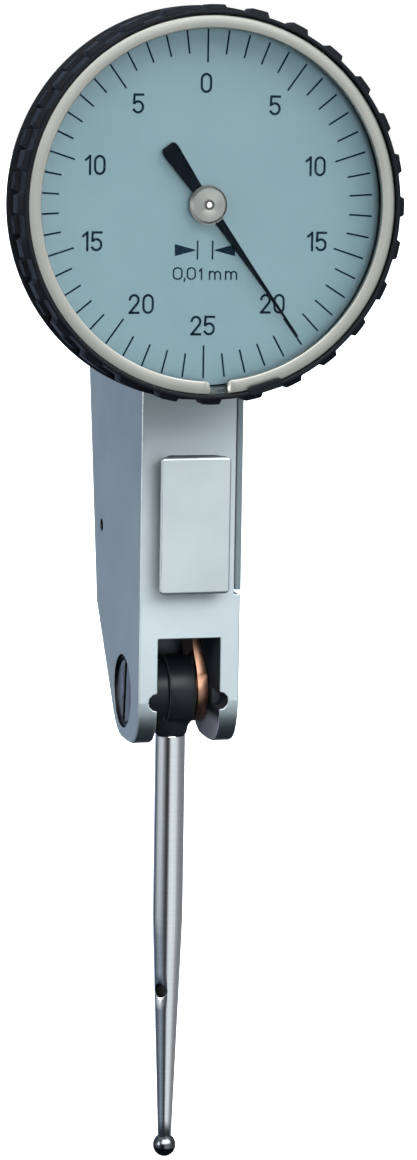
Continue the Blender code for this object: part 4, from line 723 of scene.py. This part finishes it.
def make_body():
    """The satin body with its fork and dovetails, and the plate that closes its side."""
    shell = dressed_copy("housing", "body_shell", 0.00008, 3, fuller_toe)
    low, high = (Vector(corner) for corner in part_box("housing"))
    pin_low, pin_high = (Vector(corner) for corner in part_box("dowel_pin"))
    pin = (pin_low + pin_high) / 2
    ground, inside, flanks, bores, toes = [], [], [], [], []
    for face in shell.data.polygons:
        x, y, z = face.center
        way = face.normal
        if y < low.y + GROUND_SKIN or y > high.y - GROUND_SKIN or z > high.z - GROUND_SKIN:
            ground.append(face.index)
        # Painted shade: the dovetails' top and left flanks, the sides that lie in shade, are picked
        at_front = low.y + 0.0002 < y < BODY_FRONT - 0.0001 and abs(way.y) < 0.9
        if at_front and (way.z > 0.4 or way.x < -0.4):
            flanks.append(face.index)
        if x < SCREW_BORE_X and math.hypot(y - PIVOT.y, z - PIVOT.z) < SCREW_BORE and abs(way.x) < 0.6:
            bores.append(face.index)
        if x < PIN_BORE_X and math.hypot(y - pin.y, z - pin.z) < PIN_BORE:
            bores.append(face.index)
        rise = z - PIVOT.z
        within = abs(x) < SLOT_REACH and y > BODY_FRONT + 0.0003 and SLOT_FOOT < rise < SLOT_HEAD
        on_toe = rise < 0.0 and abs(way.x) < 0.4 and way.z < -0.02
        if within and way.y < 0.4 and not on_toe:
            inside.append(face.index)
        if on_toe and way.y < -0.02:
            toes.append(face.index)
    dress(shell, "pale_chrome", "housing", "housing")
    finish_faces(shell, ground, "ground_chrome")
    # Painted shade and painted reflection on the walls inside the fork
    finish_faces(shell, inside, "inside_painted_shade")
    finish_faces(shell, flanks, "flank_painted_shade")
    # Painted shade in the screw and pin bores
    finish_faces(shell, bores, "bore_painted_shade")
    finish_faces(shell, toes, "toe_chrome")
    plate = dressed_copy("side_cover", "side_plate", 0.0001)
    # Painted shade on the side plate's front edge
    edge = [face.index for face in plate.data.polygons if face.normal.y < -0.4]
    dress(plate, "pale_chrome", "housing", "side_cover")
    finish_faces(plate, edge, "cover_edge_painted_shade")


# Heights in front of the origin, measured towards the viewer of the dial
GRIP_FRONT = 0.00855
GRIP_BACK = 0.00315
RING_FRONT = 0.00815
RING_BACK = 0.00765
GLASS_FRONT = 0.00755
GLASS_BACK = 0.0068
DIAL_FRONT = 0.0054
DIAL_BACK = 0.005
LIP_FRONT = 0.00495
LIP_BACK = 0.00445
NEEDLE_BACK = 0.006
NEEDLE_FRONT = 0.00625
CAP_FRONT = 0.00655
LUG_BACK = 0.0083
LUG_FRONT = 0.00864

# The grip's blocks, the lug and the split ring
GRIP_BLOCKS = 28
GRIP_FACES = 8
GRIP_MIDDLE = (GRIP_FRONT + GRIP_BACK) / 2
ROW_GAP = 0.0002
REAR_STEP = 0.00015
FRONT_MARGIN = 0.00028
REAR_MARGIN = 0.00075
FLANGE_WIDTH = 0.0006
ROUND_OFF = 0.00009
SKIRT_RADIUS = 0.0149
LIP_RADIUS = 0.0139
SEAT_PLAY = 0.00005
BLOCK_RISE = 0.00043
BLOCK_SLOPE = 0.0002
SPLIT_ANGLE = math.radians(177.6)
SPLIT_WIDTH = 0.00145
SPLIT_ROUND = 0.0004
LUG_ANGLE = math.radians(163.0)
LUG_WIDTH = 0.003
LUG_INNER = 0.01482
LUG_OUTER = 0.0156
LUG_ROUND = 0.00036
GLASS_BEVEL = 0.0001
DIAL_HOLE = 0.0009


def grip_section():
    """The grip's section as radius and height pairs, round from its front edge."""
    foot = GRIP_RADIUS - BLOCK_RISE
    rear_foot = foot - REAR_STEP
    seat = GLASS_BACK - SEAT_PLAY
    return [
        (RECESS_RADIUS, GRIP_FRONT), (foot - ROUND_OFF, GRIP_FRONT), (foot, GRIP_FRONT - ROUND_OFF),
        (foot, GRIP_FRONT - FRONT_MARGIN), (foot, GRIP_MIDDLE + ROW_GAP / 2),
        (rear_foot, GRIP_MIDDLE - ROW_GAP / 2), (rear_foot, GRIP_BACK + REAR_MARGIN),
        (GRIP_RADIUS, GRIP_BACK + FLANGE_WIDTH),
        (GRIP_RADIUS, GRIP_BACK + ROUND_OFF), (GRIP_RADIUS - ROUND_OFF, GRIP_BACK),
        (SKIRT_RADIUS, GRIP_BACK), (SKIRT_RADIUS, LIP_BACK), (LIP_RADIUS, LIP_BACK), (LIP_RADIUS, LIP_FRONT),
        (WALL_RADIUS, LIP_FRONT), (WALL_RADIUS, seat), (RECESS_RADIUS, seat),
    ]


def raise_blocks(grip, low, high, phase):
    """Raises every other patch of one row into a slanted block."""
    pitch = math.tau / GRIP_BLOCKS

    def wanted(centre, normal):
        outside = math.hypot(centre.x, centre.y) > RECESS_RADIUS + 0.0001
        if not outside or not low < centre.z < high or abs(normal.z) > 0.3:
            return False
        turn = math.atan2(centre.x, centre.y) / pitch - phase
        return abs(turn - round(turn)) < 0.25

    pick_faces(grip, wanted)
    edit("FACE")
    bpy.ops.mesh.inset(thickness=BLOCK_SLOPE, depth=BLOCK_RISE, use_boundary=True)
    leave_edit()


def make_grip():
    """The black grip ring with its two staggered rows of blocks and the lug over the split ring."""
    grip = turned("knurled_grip", grip_section(), GRIP_BLOCKS * GRIP_FACES, closed=True)
    raise_blocks(grip, GRIP_MIDDLE + ROW_GAP / 2, GRIP_FRONT - FRONT_MARGIN, 0.0)
    raise_blocks(grip, GRIP_BACK + REAR_MARGIN, GRIP_MIDDLE - ROW_GAP / 2, 0.5)
    soften(grip, 0.00006, 2, 30.0)
    # Painted shade on the wall and ledges of the recess that holds the glass
    seat = [
        face.index for face in grip.data.polygons
        if face.center.xy.length < RECESS_RADIUS and face.center.z > LIP_FRONT - 0.0001
    ]
    settle(grip, FACE_ON, DIAL_PLACE)
    dress(grip, "grip_black", "bezel", "bezel")
    finish_faces(grip, seat, "seat_painted_shade")
    lug = block("ring_lug", (-LUG_WIDTH / 2, LUG_INNER, LUG_BACK), (LUG_WIDTH / 2, LUG_OUTER, LUG_FRONT))
    round_corners(lug, LUG_ROUND)
    soften(lug, 0.00012, 3, 30.0)
    settle(lug, (0.0, 0.0, -LUG_ANGLE))
    settle(lug, FACE_ON, DIAL_PLACE)
    dress(lug, "grip_black", "bezel")


def make_split_ring():
    """The flat split ring that holds the glass, its cut ends rounded."""
    ring = flat_ring("split_ring", RING_INNER, RING_OUTER, RING_BACK, RING_FRONT, 256)
    gap = block(
        "gap", (-SPLIT_WIDTH / 2, RING_INNER - 0.001, RING_BACK - 0.001),
        (SPLIT_WIDTH / 2, RING_OUTER + 0.001, RING_FRONT + 0.001)
    )
    cut_away(ring, gap)
    round_corners(ring, SPLIT_ROUND)
    soften(ring, 0.00006, 3, 40.0)
    settle(ring, (0.0, 0.0, -SPLIT_ANGLE))
    settle(ring, FACE_ON, DIAL_PLACE)
    dress(ring, "ring_nickel", "bezel", "snap_ring")


def make_glass():
    """The clear window with its ground edge."""
    glass = turned("window_glass", [
        (RING_OUTER, GLASS_BACK), (RING_OUTER, GLASS_FRONT - GLASS_BEVEL),
        (RING_OUTER - GLASS_BEVEL, GLASS_FRONT),
    ], 192)
    smooth(glass)
    settle(glass, FACE_ON, DIAL_PLACE)
    dress(glass, "clear_glass", "bezel", "crystal")


def make_dial():
    """The painted dial plate with its centre hole."""
    plate = flat_ring("dial_face", DIAL_HOLE, DIAL_RADIUS, DIAL_BACK, DIAL_FRONT, 192)
    soften(plate, 0.00003, 2, 40.0)
    settle(plate, FACE_ON, DIAL_PLACE)
    dress(plate, "dial_paint", "bezel", "dial_plate")


INK_HEIGHT = 0.00001
INK_ROOT = 0.000004
TICK_COUNT = 50
TICK_OUTER = 0.01409
TICK_LONG = 0.01141
TICK_SHORT = 0.01215
TICK_WIDTH = 0.00015
FIGURE_HEIGHT = 0.00162
FIGURE_WEIGHT = 0.0002
FIGURE_GAP = 0.00021
FIGURE_WIDTHS = {"0": 0.00097, "1": 0.00054, "2": 0.00092, "5": 0.00094}
WORDS_FOOT = -0.0061
WORDS_WEIGHT = 0.00013
ARROWS_LEVEL = -0.00369
BAR_AWAY = 0.00063
BAR_REACH = 0.0007
BAR_WIDTH = 0.00014
ARROW_TIP = 0.00079
ARROW_TAIL = 0.00253
ARROW_TIP_REACH = 0.00003
ARROW_TAIL_REACH = 0.00049

# Each figure with its place on the dial, across and up from the centre
FIGURES = [
    ("0", -0.0001, 0.00975), ("5", -0.00569, 0.00803), ("5", 0.00569, 0.00803),
    ("10", -0.00919, 0.0031), ("10", 0.00919, 0.00315), ("15", -0.00936, -0.003), ("15", 0.00942, -0.00296),
    ("20", -0.00525, -0.00804), ("20", 0.00574, -0.00804), ("25", -0.0001, -0.0098),
]

# The measure words, sign by sign: left edge, foot above the line, width and height
MEASURE = [
    ("0", -0.00267, 0.0, 0.00083, 0.00104), (",", -0.00178, -0.00018, 0.0002, 0.00036),
    ("0", -0.00151, 0.0, 0.00078, 0.00104), ("1", -0.0005, 0.0, 0.0003, 0.00096),
    ("m", 0.00034, 0.0, 0.00104, 0.00074), ("m", 0.00169, 0.0, 0.00104, 0.00074),
]


def bow(centre, across, up, start, end, steps=12):
    """Points along a part of an oval, by its middle, its half sizes and its angles in degrees."""
    points = []
    for step in range(steps + 1):
        angle = math.radians(start + (end - start) * step / steps)
        points.append((centre[0] + across * math.cos(angle), centre[1] + up * math.sin(angle)))
    return points


# The signs as strokes in a box one wide and one high. A stroke that ends where it starts is a ring
SIGNS = {
    "0": [bow((0.5, 0.7), 0.5, 0.3, 0, 180) + bow((0.5, 0.3), 0.5, 0.3, 180, 360) + [(1.0, 0.7)]],
    "1": [[(1.0, 0.0), (1.0, 1.0)], [(0.0, 0.79), (0.82, 0.96)]],
    "2": [bow((0.5, 0.72), 0.5, 0.28, 170, -35) + [(0.06, 0.03)], [(0.0, 0.0), (1.0, 0.0)]],
    "5": [[(1.0, 1.0), (0.04, 1.0), (0.0, 0.53)] + bow((0.45, 0.31), 0.55, 0.31, 136, -148)],
    "m": [
        [(0.0, 0.0), (0.0, 1.0)],
        bow((0.25, 0.66), 0.25, 0.34, 180, 0, 8) + [(0.5, 0.0)],
        bow((0.75, 0.66), 0.25, 0.34, 180, 0, 8) + [(1.0, 0.0)],
    ],
    ",": [[(1.0, 1.0), (0.0, 0.0)]],
}


def stroke(points, weight):
    """A flat strip of even width laid along points, mitred where it turns."""
    points = [Vector(point) for point in points]
    ring = (points[0] - points[-1]).length < 1e-8
    ways = [(after - before).normalized() for before, after in zip(points, points[1:])]
    rows = []
    for place, point in enumerate(points):
        before = ways[place - 1] if place or ring else ways[0]
        after = ways[place % len(ways)] if place < len(ways) or ring else ways[-1]
        side = Vector((before.y + after.y, -before.x - after.x)).normalized()
        side *= min(weight / 2 / max(side.dot((before.y, -before.x)), 0.01), weight * 1.2)
        if not ring and place == 0:
            point = point - after * weight / 2
        if not ring and place == len(points) - 1:
            point = point + before * weight / 2
        rows.append((point - side, point + side))
    strip = flat_strip(rows)
    if ring:
        tidy_shell(strip, 1e-8)
    return strip


def sign(name, left, foot, width, height, weight):
    """The strokes of one sign, fitted into its box."""
    left += weight / 2
    foot += weight / 2
    width -= weight
    height -= weight
    return [stroke([(left + x * width, foot + y * height) for x, y in path], weight) for path in SIGNS[name]]


def print_on_dial(prints, name, merge=False):
    """Joins flat prints, gives them their thickness from just inside the paint, and lays them on the dial."""
    take(prints[0])
    for strip in prints[1:]:
        strip.select_set(True)
    bpy.ops.object.join()
    piece = new_piece(name)
    if merge:
        tidy_shell(piece)
    edit_all(piece, "FACE")
    bpy.ops.transform.translate(value=(0.0, 0.0, -INK_ROOT))
    extrude((0.0, 0.0, INK_HEIGHT + INK_ROOT))
    bpy.ops.mesh.select_all(action="SELECT")
    bpy.ops.mesh.normals_make_consistent(inside=False)
    leave_edit()
    settle(piece, FACE_ON, (DIAL_X, -DIAL_FRONT, DIAL_Z))
    dress(piece, "dial_ink", "bezel")


def make_ticks():
    """The ring of fifty lines, every fifth one long."""
    lines = []
    for number in range(TICK_COUNT):
        angle = math.tau * number / TICK_COUNT
        inner = TICK_SHORT if number % 5 else TICK_LONG
        along = Vector((math.sin(angle), math.cos(angle)))
        ends = [along * (inner + TICK_WIDTH / 2), along * (TICK_OUTER - TICK_WIDTH / 2)]
        lines.append(stroke(ends, TICK_WIDTH))
    print_on_dial(lines, "dial_lines", merge=True)


def make_figures():
    """The dial's figures and its plain measure words."""
    strips = []
    for words, across, up in FIGURES:
        wide = sum(FIGURE_WIDTHS[name] for name in words) + FIGURE_GAP * (len(words) - 1)
        left = across - wide / 2
        for name in words:
            width = FIGURE_WIDTHS[name]
            strips += sign(name, left, up - FIGURE_HEIGHT / 2, width, FIGURE_HEIGHT, FIGURE_WEIGHT)
            left += width + FIGURE_GAP
    print_on_dial(strips, "dial_figures")
    strips = []
    for name, left, foot, width, height in MEASURE:
        strips += sign(name, left, WORDS_FOOT + foot, width, height, WORDS_WEIGHT)
    print_on_dial(strips, "dial_measure")


def make_arrows():
    """Two bars with an arrow head pointing at each from outside."""
    parts = []
    for side in (-1.0, 1.0):
        bar = BAR_AWAY * side
        parts.append(stroke([(bar, ARROWS_LEVEL - BAR_REACH), (bar, ARROWS_LEVEL + BAR_REACH)], BAR_WIDTH))
        parts.append(flat_strip([
            ((ARROW_TIP * side, ARROWS_LEVEL + way * ARROW_TIP_REACH),
             (ARROW_TAIL * side, ARROWS_LEVEL + way * ARROW_TAIL_REACH)) for way in (-1.0, 1.0)
        ]))
    print_on_dial(parts, "dial_arrows", merge=True)


NEEDLE_ANGLE = math.radians(144.0)
NEEDLE_TAIL = -0.0058
CAP_RADIUS = 0.00158
CAP_HOLLOW = 0.0001
PIP_RADIUS = 0.00018
STEM_RADIUS = 0.0013
STEM_TOP = -0.00385
STEM_TAPER = -0.02
STEM_END = -0.03942
STEM_TIP = 0.00059
SPIGOT_RADIUS = 0.0007
HOLE_DROP = -0.02632
HOLE_RADIUS = 0.00062
HOLE_TURN = math.radians(-47)
BALL_CENTRE = -0.04028
BALL_RADIUS = 0.001
EYE_RADIUS = 0.00275
EYE_LEFT = 0.0017
EYE_RIGHT = 0.00262
EYE_BORE = 0.00092
NECK_FOOT = 0.00074
STRIP_TOP = 0.0054
STRIP_SHARE = 0.51
BEND_FOOT = 0.0012
BEND_HEIGHT = 0.0038
BEND_REACH = 0.00042
BEND_LOOP = 0.00035
SPRING_PLACE = Vector((0.0026, 0.00865, 0.02693))
SPRING_START = 0.00085
SPRING_PITCH = 0.00068
SPRING_TURNS = 2
SPRING_STEPS = 36
SPRING_WIRE = 0.0001

# The needle's half widths along its length, from its tail to its tip
NEEDLE_ROWS = [
    (NEEDLE_TAIL, 0.00045), (NEEDLE_TAIL + 0.00008, 0.00059), (NEEDLE_TAIL + 0.0003, 0.00069),
    (-0.0052, 0.00071), (-0.0015, 0.00044), (0.0, 0.00045), (0.0015, 0.00035),
    (0.006, 0.0002), (0.0105, 0.0001), (0.0132, 0.00005),
]


def make_needle():
    """The black pointer: a long taper to its tip and a broad rounded tail."""
    needle = flat_strip([((-half, along), (half, along)) for along, half in NEEDLE_ROWS])
    needle.name = "needle"
    tidy_shell(needle)
    apply_modifier(needle, "SOLIDIFY", thickness=NEEDLE_FRONT - NEEDLE_BACK, offset=0.0)
    tidy_shell(needle)
    soften(needle, 0.00006, 2, 40.0)
    settle(needle, (0.0, 0.0, -NEEDLE_ANGLE))
    settle(needle, FACE_ON, (DIAL_X, -(NEEDLE_FRONT + NEEDLE_BACK) / 2, DIAL_Z))
    dress(needle, "needle_black", "pointer", "pointer")


def make_cap():
    """The polished cap over the pointer's hub: a bevelled rim, and a small pip in a hollow darkened by painted
    shade.
    """
    face = CAP_FRONT - 0.00002
    floor = face - CAP_HOLLOW
    cap = turned("hub_cap", [
        (0.00152, 0.0063), (CAP_RADIUS, 0.00633), (CAP_RADIUS, face - 0.00024), (0.00134, face),
        (0.00046, face), (0.00042, face - 0.00002), (0.00038, floor), (0.0002, floor),
        (0.00016, face), (0.00012, face + 0.00002),
    ], 128)
    # Painted shade goes on the hollow round the pip
    hollow, pip = [], []
    for polygon in cap.data.polygons:
        away = polygon.center.xy.length
        level = polygon.center.z
        if abs(level - floor) < 0.00009 and PIP_RADIUS < away < 0.00044:
            hollow.append(polygon.index)
        if away < PIP_RADIUS and level > floor:
            pip.append(polygon.index)
    smooth(cap, 40.0)
    settle(cap, FACE_ON, DIAL_PLACE)
    dress(cap, "cap_nickel", "pointer", "pointer_cap")
    finish_faces(cap, hollow, "hollow_painted_shade")
    finish_faces(cap, pip, "pip_metal")


def stem_at(height):
    """The taper's radius and height at a height below the pivot."""
    return STEM_RADIUS + (STEM_TIP - STEM_RADIUS) * (height - STEM_TAPER) / (STEM_END - STEM_TAPER), height


def make_stem():
    """The long stylus stem: a straight shank, a fine taper, a cross hole and the spigot above."""
    profile = [
        (SPIGOT_RADIUS, -0.0021), (SPIGOT_RADIUS, STEM_TOP), (0.00122, STEM_TOP),
        (STEM_RADIUS, STEM_TOP - 0.00008), (STEM_RADIUS, -0.012), (STEM_RADIUS, STEM_TAPER + 0.0002),
    ]
    profile += [stem_at(STEM_TAPER + (STEM_END - STEM_TAPER) * step / 12) for step in range(1, 13)]
    stem = turned("stylus_shank", profile, 96)
    hole = turned("cross_drill", [(HOLE_RADIUS, -0.004), (HOLE_RADIUS, 0.004)], 48)
    settle(hole, (math.radians(90), 0.0, HOLE_TURN), (0.0, 0.0, HOLE_DROP))
    cut_away(stem, hole)
    soften(stem, 0.00005, 2, 32.0)
    # Painted shade inside the cross hole
    bore = []
    for face in stem.data.polygons:
        skin = stem_at(face.center.z)[0] - 0.00012
        if abs(face.center.z - HOLE_DROP) < HOLE_RADIUS and face.center.xy.length < skin and face.area < 0.3e-6:
            bore.append(face.index)
    settle(stem, place=PIVOT)
    dress(stem, "stem_steel", "stylus", "stylus_stem")
    finish_faces(stem, bore, "hollow_painted_shade")


def make_ball():
    """The measuring ball, with the small flat where it is joined to the stem."""
    clear_hands()
    bpy.ops.mesh.primitive_uv_sphere_add(segments=64, ring_count=48, radius=BALL_RADIUS, enter_editmode=True)
    ball = new_piece("measuring_ball")
    bpy.ops.mesh.select_all(action="SELECT")
    slice_level(BALL_RADIUS * 0.9, use_fill=True, clear_outer=True)
    leave_edit()
    tidy_shell(ball)
    smooth(ball, 40.0)
    settle(ball, place=PIVOT + Vector((0.0, 0.0, BALL_CENTRE)))
    dress(ball, "ball_steel", "stylus", "ball_tip")


def make_knuckle():
    """The black knuckle: a wide drum beside a narrower hub, with the stem's boss below."""
    drum = turned("knuckle_body", [
        (0.0026, -0.0025), (0.0026, -0.0008), (0.00292, -0.0008), (0.003, -0.00072),
        (0.003, 0.00143), (0.00292, 0.00151),
    ], 96)
    settle(drum, SIDE_ON)
    unite(drum, turned("boss", [(0.0014, -0.0038), (0.0017, -0.0022), (0.0017, -0.0005)], 64))
    soften(drum, 0.0001, 3)
    settle(drum, place=PIVOT)
    dress(drum, "knuckle_black", "stylus", "knuckle")


def side_bore(name, radius, left, right):
    """A round tool along the axle, for cutting a bore."""
    tool = turned(name, [(radius, left), (radius, right)], 64)
    settle(tool, SIDE_ON)
    return tool


def make_lever():
    """The bronze lever: an eye on the axle, a strip that steps inwards, and the toothed arm above."""
    plate = turned("lever_plate", [(EYE_RADIUS, EYE_LEFT), (EYE_RADIUS, EYE_RIGHT)], 96)
    settle(plate, SIDE_ON)
    edit_all(plate)
    slice_level(NECK_FOOT, use_fill=True, clear_outer=True)
    leave_edit()
    pick_faces(plate, lambda centre, normal: normal.z > 0.99)
    edit("FACE")
    extrude((0.0, 0.0, STRIP_TOP - NECK_FOOT))
    bpy.ops.transform.resize(value=(1.0, STRIP_SHARE, 1.0), center_override=(0.0, 0.0, STRIP_TOP))
    for step in range(1, 12):
        bpy.ops.mesh.select_all(action="SELECT")
        slice_level(BEND_FOOT + BEND_LOOP * step)
    leave_edit()
    middle = (EYE_LEFT + EYE_RIGHT) / 2
    for vertex in plate.data.vertices:
        share = min(max((vertex.co.z - BEND_FOOT) / BEND_HEIGHT, 0.0), 1.0)
        share *= share * (3 - 2 * share)
        vertex.co.x = middle - BEND_REACH * share + (vertex.co.x - middle) * (1 - 0.2 * share)
    cut_away(plate, side_bore("eye_bore", EYE_BORE, 0.001, 0.003))
    settle(plate, place=PIVOT)
    arm = dressed_copy("lever_arm", "toothed_arm", 0.0)
    edit_all(arm)
    slice_level(PIVOT.z + STRIP_TOP - 0.0002, use_fill=True, clear_inner=True)
    leave_edit()
    unite(plate, arm)
    soften(plate, 0.00005, 2, 38.0)
    dress(plate, "lever_bronze", "lever", "lever_arm")


def make_bearings():
    """The screw with its rim groove and slot in the left ear, and the black collar on the axle."""
    plug = turned("bearing_plug", [
        (0.00306, -0.0027), (0.0031, -0.00274), (0.0031, -0.00403), (0.00303, -0.0041), (0.00294, -0.0041),
        (0.00286, -0.00394), (0.0027, -0.00394), (0.00262, -0.00405), (0.0005, -0.00405),
    ], 96)
    settle(plug, SIDE_ON)
    slot = block("screwdriver_slot", (-0.005, -0.00035, -0.0026), (-0.00362, 0.00035, 0.0026))
    settle(slot, (math.radians(8), 0.0, 0.0))
    cut_away(plug, slot, side_bore("pivot_bore", 0.00064, -0.0033, -0.002))
    soften(plug, 0.00004, 2, 40.0)
    # Painted shade in the rim groove, on the sunken face and in the slot
    groove = []
    for face in plug.data.polygons:
        x = face.center.x
        away = face.center.yz.length
        if (x < -0.0039 and away > 0.00264) or (-0.00402 < x < -0.0035 and away < 0.0027):
            groove.append(face.index)
    settle(plug, place=PIVOT)
    dress(plug, "dulled_steel", "housing", "bearing_screw")
    finish_faces(plug, groove, "bore_painted_shade")
    collar = flat_ring("collar_ring", EYE_BORE, 0.0021, 0.002625, 0.00273, 72)
    soften(collar, 0.00003, 2, 40.0)
    settle(collar, SIDE_ON)
    settle(collar, place=PIVOT)
    dress(collar, "knuckle_black", "lever", "axle_collar")


def make_hairspring():
    """The flat coil of fine round wire behind the dial."""
    places = []
    for step in range(SPRING_TURNS * SPRING_STEPS + 1):
        turns = step / SPRING_STEPS
        radius = SPRING_START + SPRING_PITCH * turns
        places.append(Vector((0.0, radius * math.cos(math.tau * turns), radius * math.sin(math.tau * turns))))
    clear_hands()
    bpy.ops.mesh.primitive_plane_add(size=0.001, enter_editmode=True)
    wire = new_piece("spring_coil")
    bpy.ops.mesh.select_mode(type="VERT")
    bpy.ops.mesh.select_all(action="SELECT")
    bpy.ops.mesh.merge(type="CENTER")
    bpy.ops.transform.translate(value=places[0])
    for before, after in zip(places, places[1:]):
        extrude(after - before)
    leave_edit()
    bpy.ops.object.convert(target="CURVE")
    wire.data.bevel_depth = SPRING_WIRE
    wire.data.bevel_resolution = 3
    wire.data.use_fill_caps = True
    bpy.ops.object.convert(target="MESH")
    spring = bpy.context.object
    tidy_shell(spring)
    smooth(spring, 60.0)
    settle(spring, place=SPRING_PLACE)
    dress(spring, "lever_bronze", "housing", "hairspring")


def make_fork_fittings():
    """The washer, the bush and the pin in the fork, the case behind the dial and the cover's screws."""
    fittings = [
        ("friction_washer", "washer_ring", 0.00003, "lever_bronze", "lever"),
        ("bearing_bush", "bearing_sleeve", 0.00005, "knuckle_black", "housing"),
        # The dowel's end in painted shade, the dark of its hole
        ("dowel_pin", "dowel", 0.00004, "bore_painted_shade", "housing"),
        ("dial_case", "case_shell", 0.0001, "case_aluminium", "housing"),
    ]
    for number in range(1, 5):
        fittings.append((f"cover_screw_{number}", f"side_screw_{number}", 0.00003, "axle_steel", "housing"))
    for node, name, width, finish, body in fittings:
        dress(dressed_copy(node, name, width), finish, body, node)


def bands(tree, value, stops):
    """A soft banded tone along a value, from pairs of place and colour."""
    made = add(tree, "ShaderNodeValToRGB")
    made.color_ramp.interpolation = "EASE"
    points = made.color_ramp.elements
    while len(points) < len(stops):
        points.new(0.5)
    for point, (place, colour) in zip(points, stops):
        point.position = place
        point.color = (*colour, 1.0)
    feed(tree, made.inputs["Fac"], value)
    return made.outputs["Color"]


# The room round the part, from behind over the left, the front and the right to behind again
BEHIND = [(0.0, (0.47, 0.62, 0.88)), (0.06, (0.49, 0.64, 0.9)), (0.095, (0.08, 0.09, 0.11))]
LEFT_ROUND = [
    (0.13, (0.07, 0.08, 0.1)), (0.175, (0.34, 0.37, 0.4)), (0.225, (0.62, 0.66, 0.69)),
    (0.285, (0.62, 0.66, 0.69)), (0.335, (0.36, 0.38, 0.4)), (0.36, (0.2, 0.21, 0.22)),
]
LEFT_BELOW = [
    (0.13, (0.06, 0.075, 0.1)), (0.186, (0.075, 0.095, 0.13)), (0.29, (0.19, 0.25, 0.33)),
    (0.33, (0.16, 0.2, 0.26)), (0.36, (0.12, 0.14, 0.17)),
]
IN_FRONT = [
    (0.388, (0.07, 0.08, 0.085)), (0.413, (0.02, 0.023, 0.026)), (0.443, (0.07, 0.075, 0.08)),
    (0.459, (0.22, 0.23, 0.24)), (0.468, (0.56, 0.58, 0.6)), (0.489, (0.8, 0.86, 0.88)),
    (0.544, (0.86, 0.93, 0.95)), (0.602, (0.74, 0.8, 0.82)), (0.625, (0.71, 0.735, 0.75)),
    (0.652, (0.38, 0.4, 0.415)), (0.741, (0.235, 0.25, 0.26)), (0.858, (0.22, 0.235, 0.25)),
    (1.0, (0.47, 0.62, 0.88)),
]


def studio_light(tree):
    """The room as the metal sees it: pale screens in front, cool dusk behind, dark below."""
    x, y, z = along_axes(tree, add(tree, "ShaderNodeTexCoord").outputs["Generated"])
    turn = maths(tree, "ARCTAN2", x, maths(tree, "MULTIPLY", y, -1.0))
    share = maths(tree, "MULTIPLY_ADD", turn, 1 / math.tau, 0.5)
    level_room = bands(tree, share, BEHIND + LEFT_ROUND + IN_FRONT)
    lower_room = bands(tree, share, BEHIND + LEFT_BELOW + IN_FRONT)
    sides = colour_mix(tree, ramp(tree, z, -0.3, -0.24), lower_room, level_room)
    lower = colour_mix(tree, ramp(tree, z, -0.55, -0.41), (0.02, 0.027, 0.035), sides)
    upper = colour_mix(tree, ramp(tree, z, 0.45, 0.8), lower, (0.62, 0.7, 0.75))
    width = maths(tree, "MULTIPLY", ramp(tree, share, 0.35, 0.42), ramp(tree, share, 0.7, 0.62))
    height = maths(tree, "MULTIPLY", ramp(tree, z, 0.22, 0.48), ramp(tree, z, 0.95, 0.8))
    return colour_mix(tree, maths(tree, "MULTIPLY", width, height), upper, (6.9, 6.95, 6.95))


def background(tree, colour):
    """A background of one colour at full strength."""
    made = add(tree, "ShaderNodeBackground")
    return feed_all(tree, made, [("Color", colour), ("Strength", 1.0)]).outputs["Background"]


def studio():
    """Floor, backdrop tone and soft lights."""
    bpy.context.scene.view_settings.view_transform = "Standard"
    floor = turned("floor", [(4.0, -0.002), (4.0, 0.0)], 96)
    settle(floor, place=(0.0, 0.0, cad_low.z - 0.0001))
    floor.data.materials.append(floor_finish())
    floor.visible_diffuse = False
    floor.visible_glossy = False
    world = bpy.data.worlds.new("studio")
    bpy.context.scene.world = world
    world.use_nodes = True
    tree = world.node_tree
    tree.nodes.clear()
    seen = add(tree, "ShaderNodeLightPath").outputs["Is Camera Ray"]
    both = feed_all(tree, add(tree, "ShaderNodeMixShader"), [
        (0, seen), (1, background(tree, studio_light(tree))), (2, background(tree, (1.0, 1.0, 1.0, 1.0)))
    ])
    feed(tree, add(tree, "ShaderNodeOutputWorld").inputs["Surface"], both.outputs["Shader"])
    soft_light("key", (0.2, -0.4, 0.3), (0.0, 0.0, 0.0), 0.3, 0.6, (1.0, 0.99, 0.97))
    # Lights the dial from the front, and is not mirrored in glass or metal
    fill = soft_light("fill", (-0.04, -0.5, 0.03), (0.0, 0.0, 0.027), 0.12, 4.2, (0.97, 1.0, 0.99))
    fill.visible_glossy = False
    fill.visible_transmission = False
    soft_light("side", (-0.4, -0.1, 0.05), (0.0, 0.0, -0.03), 0.2, 0.5, (0.97, 0.98, 1.0))


clothe_cad_nodes()
for make in (
    make_body, make_grip, make_split_ring, make_glass, make_dial, make_ticks, make_figures, make_arrows,
    make_needle, make_cap, make_stem, make_ball, make_knuckle, make_lever, make_bearings, make_hairspring,
    make_fork_fittings, make_camera, studio,
):
    make()
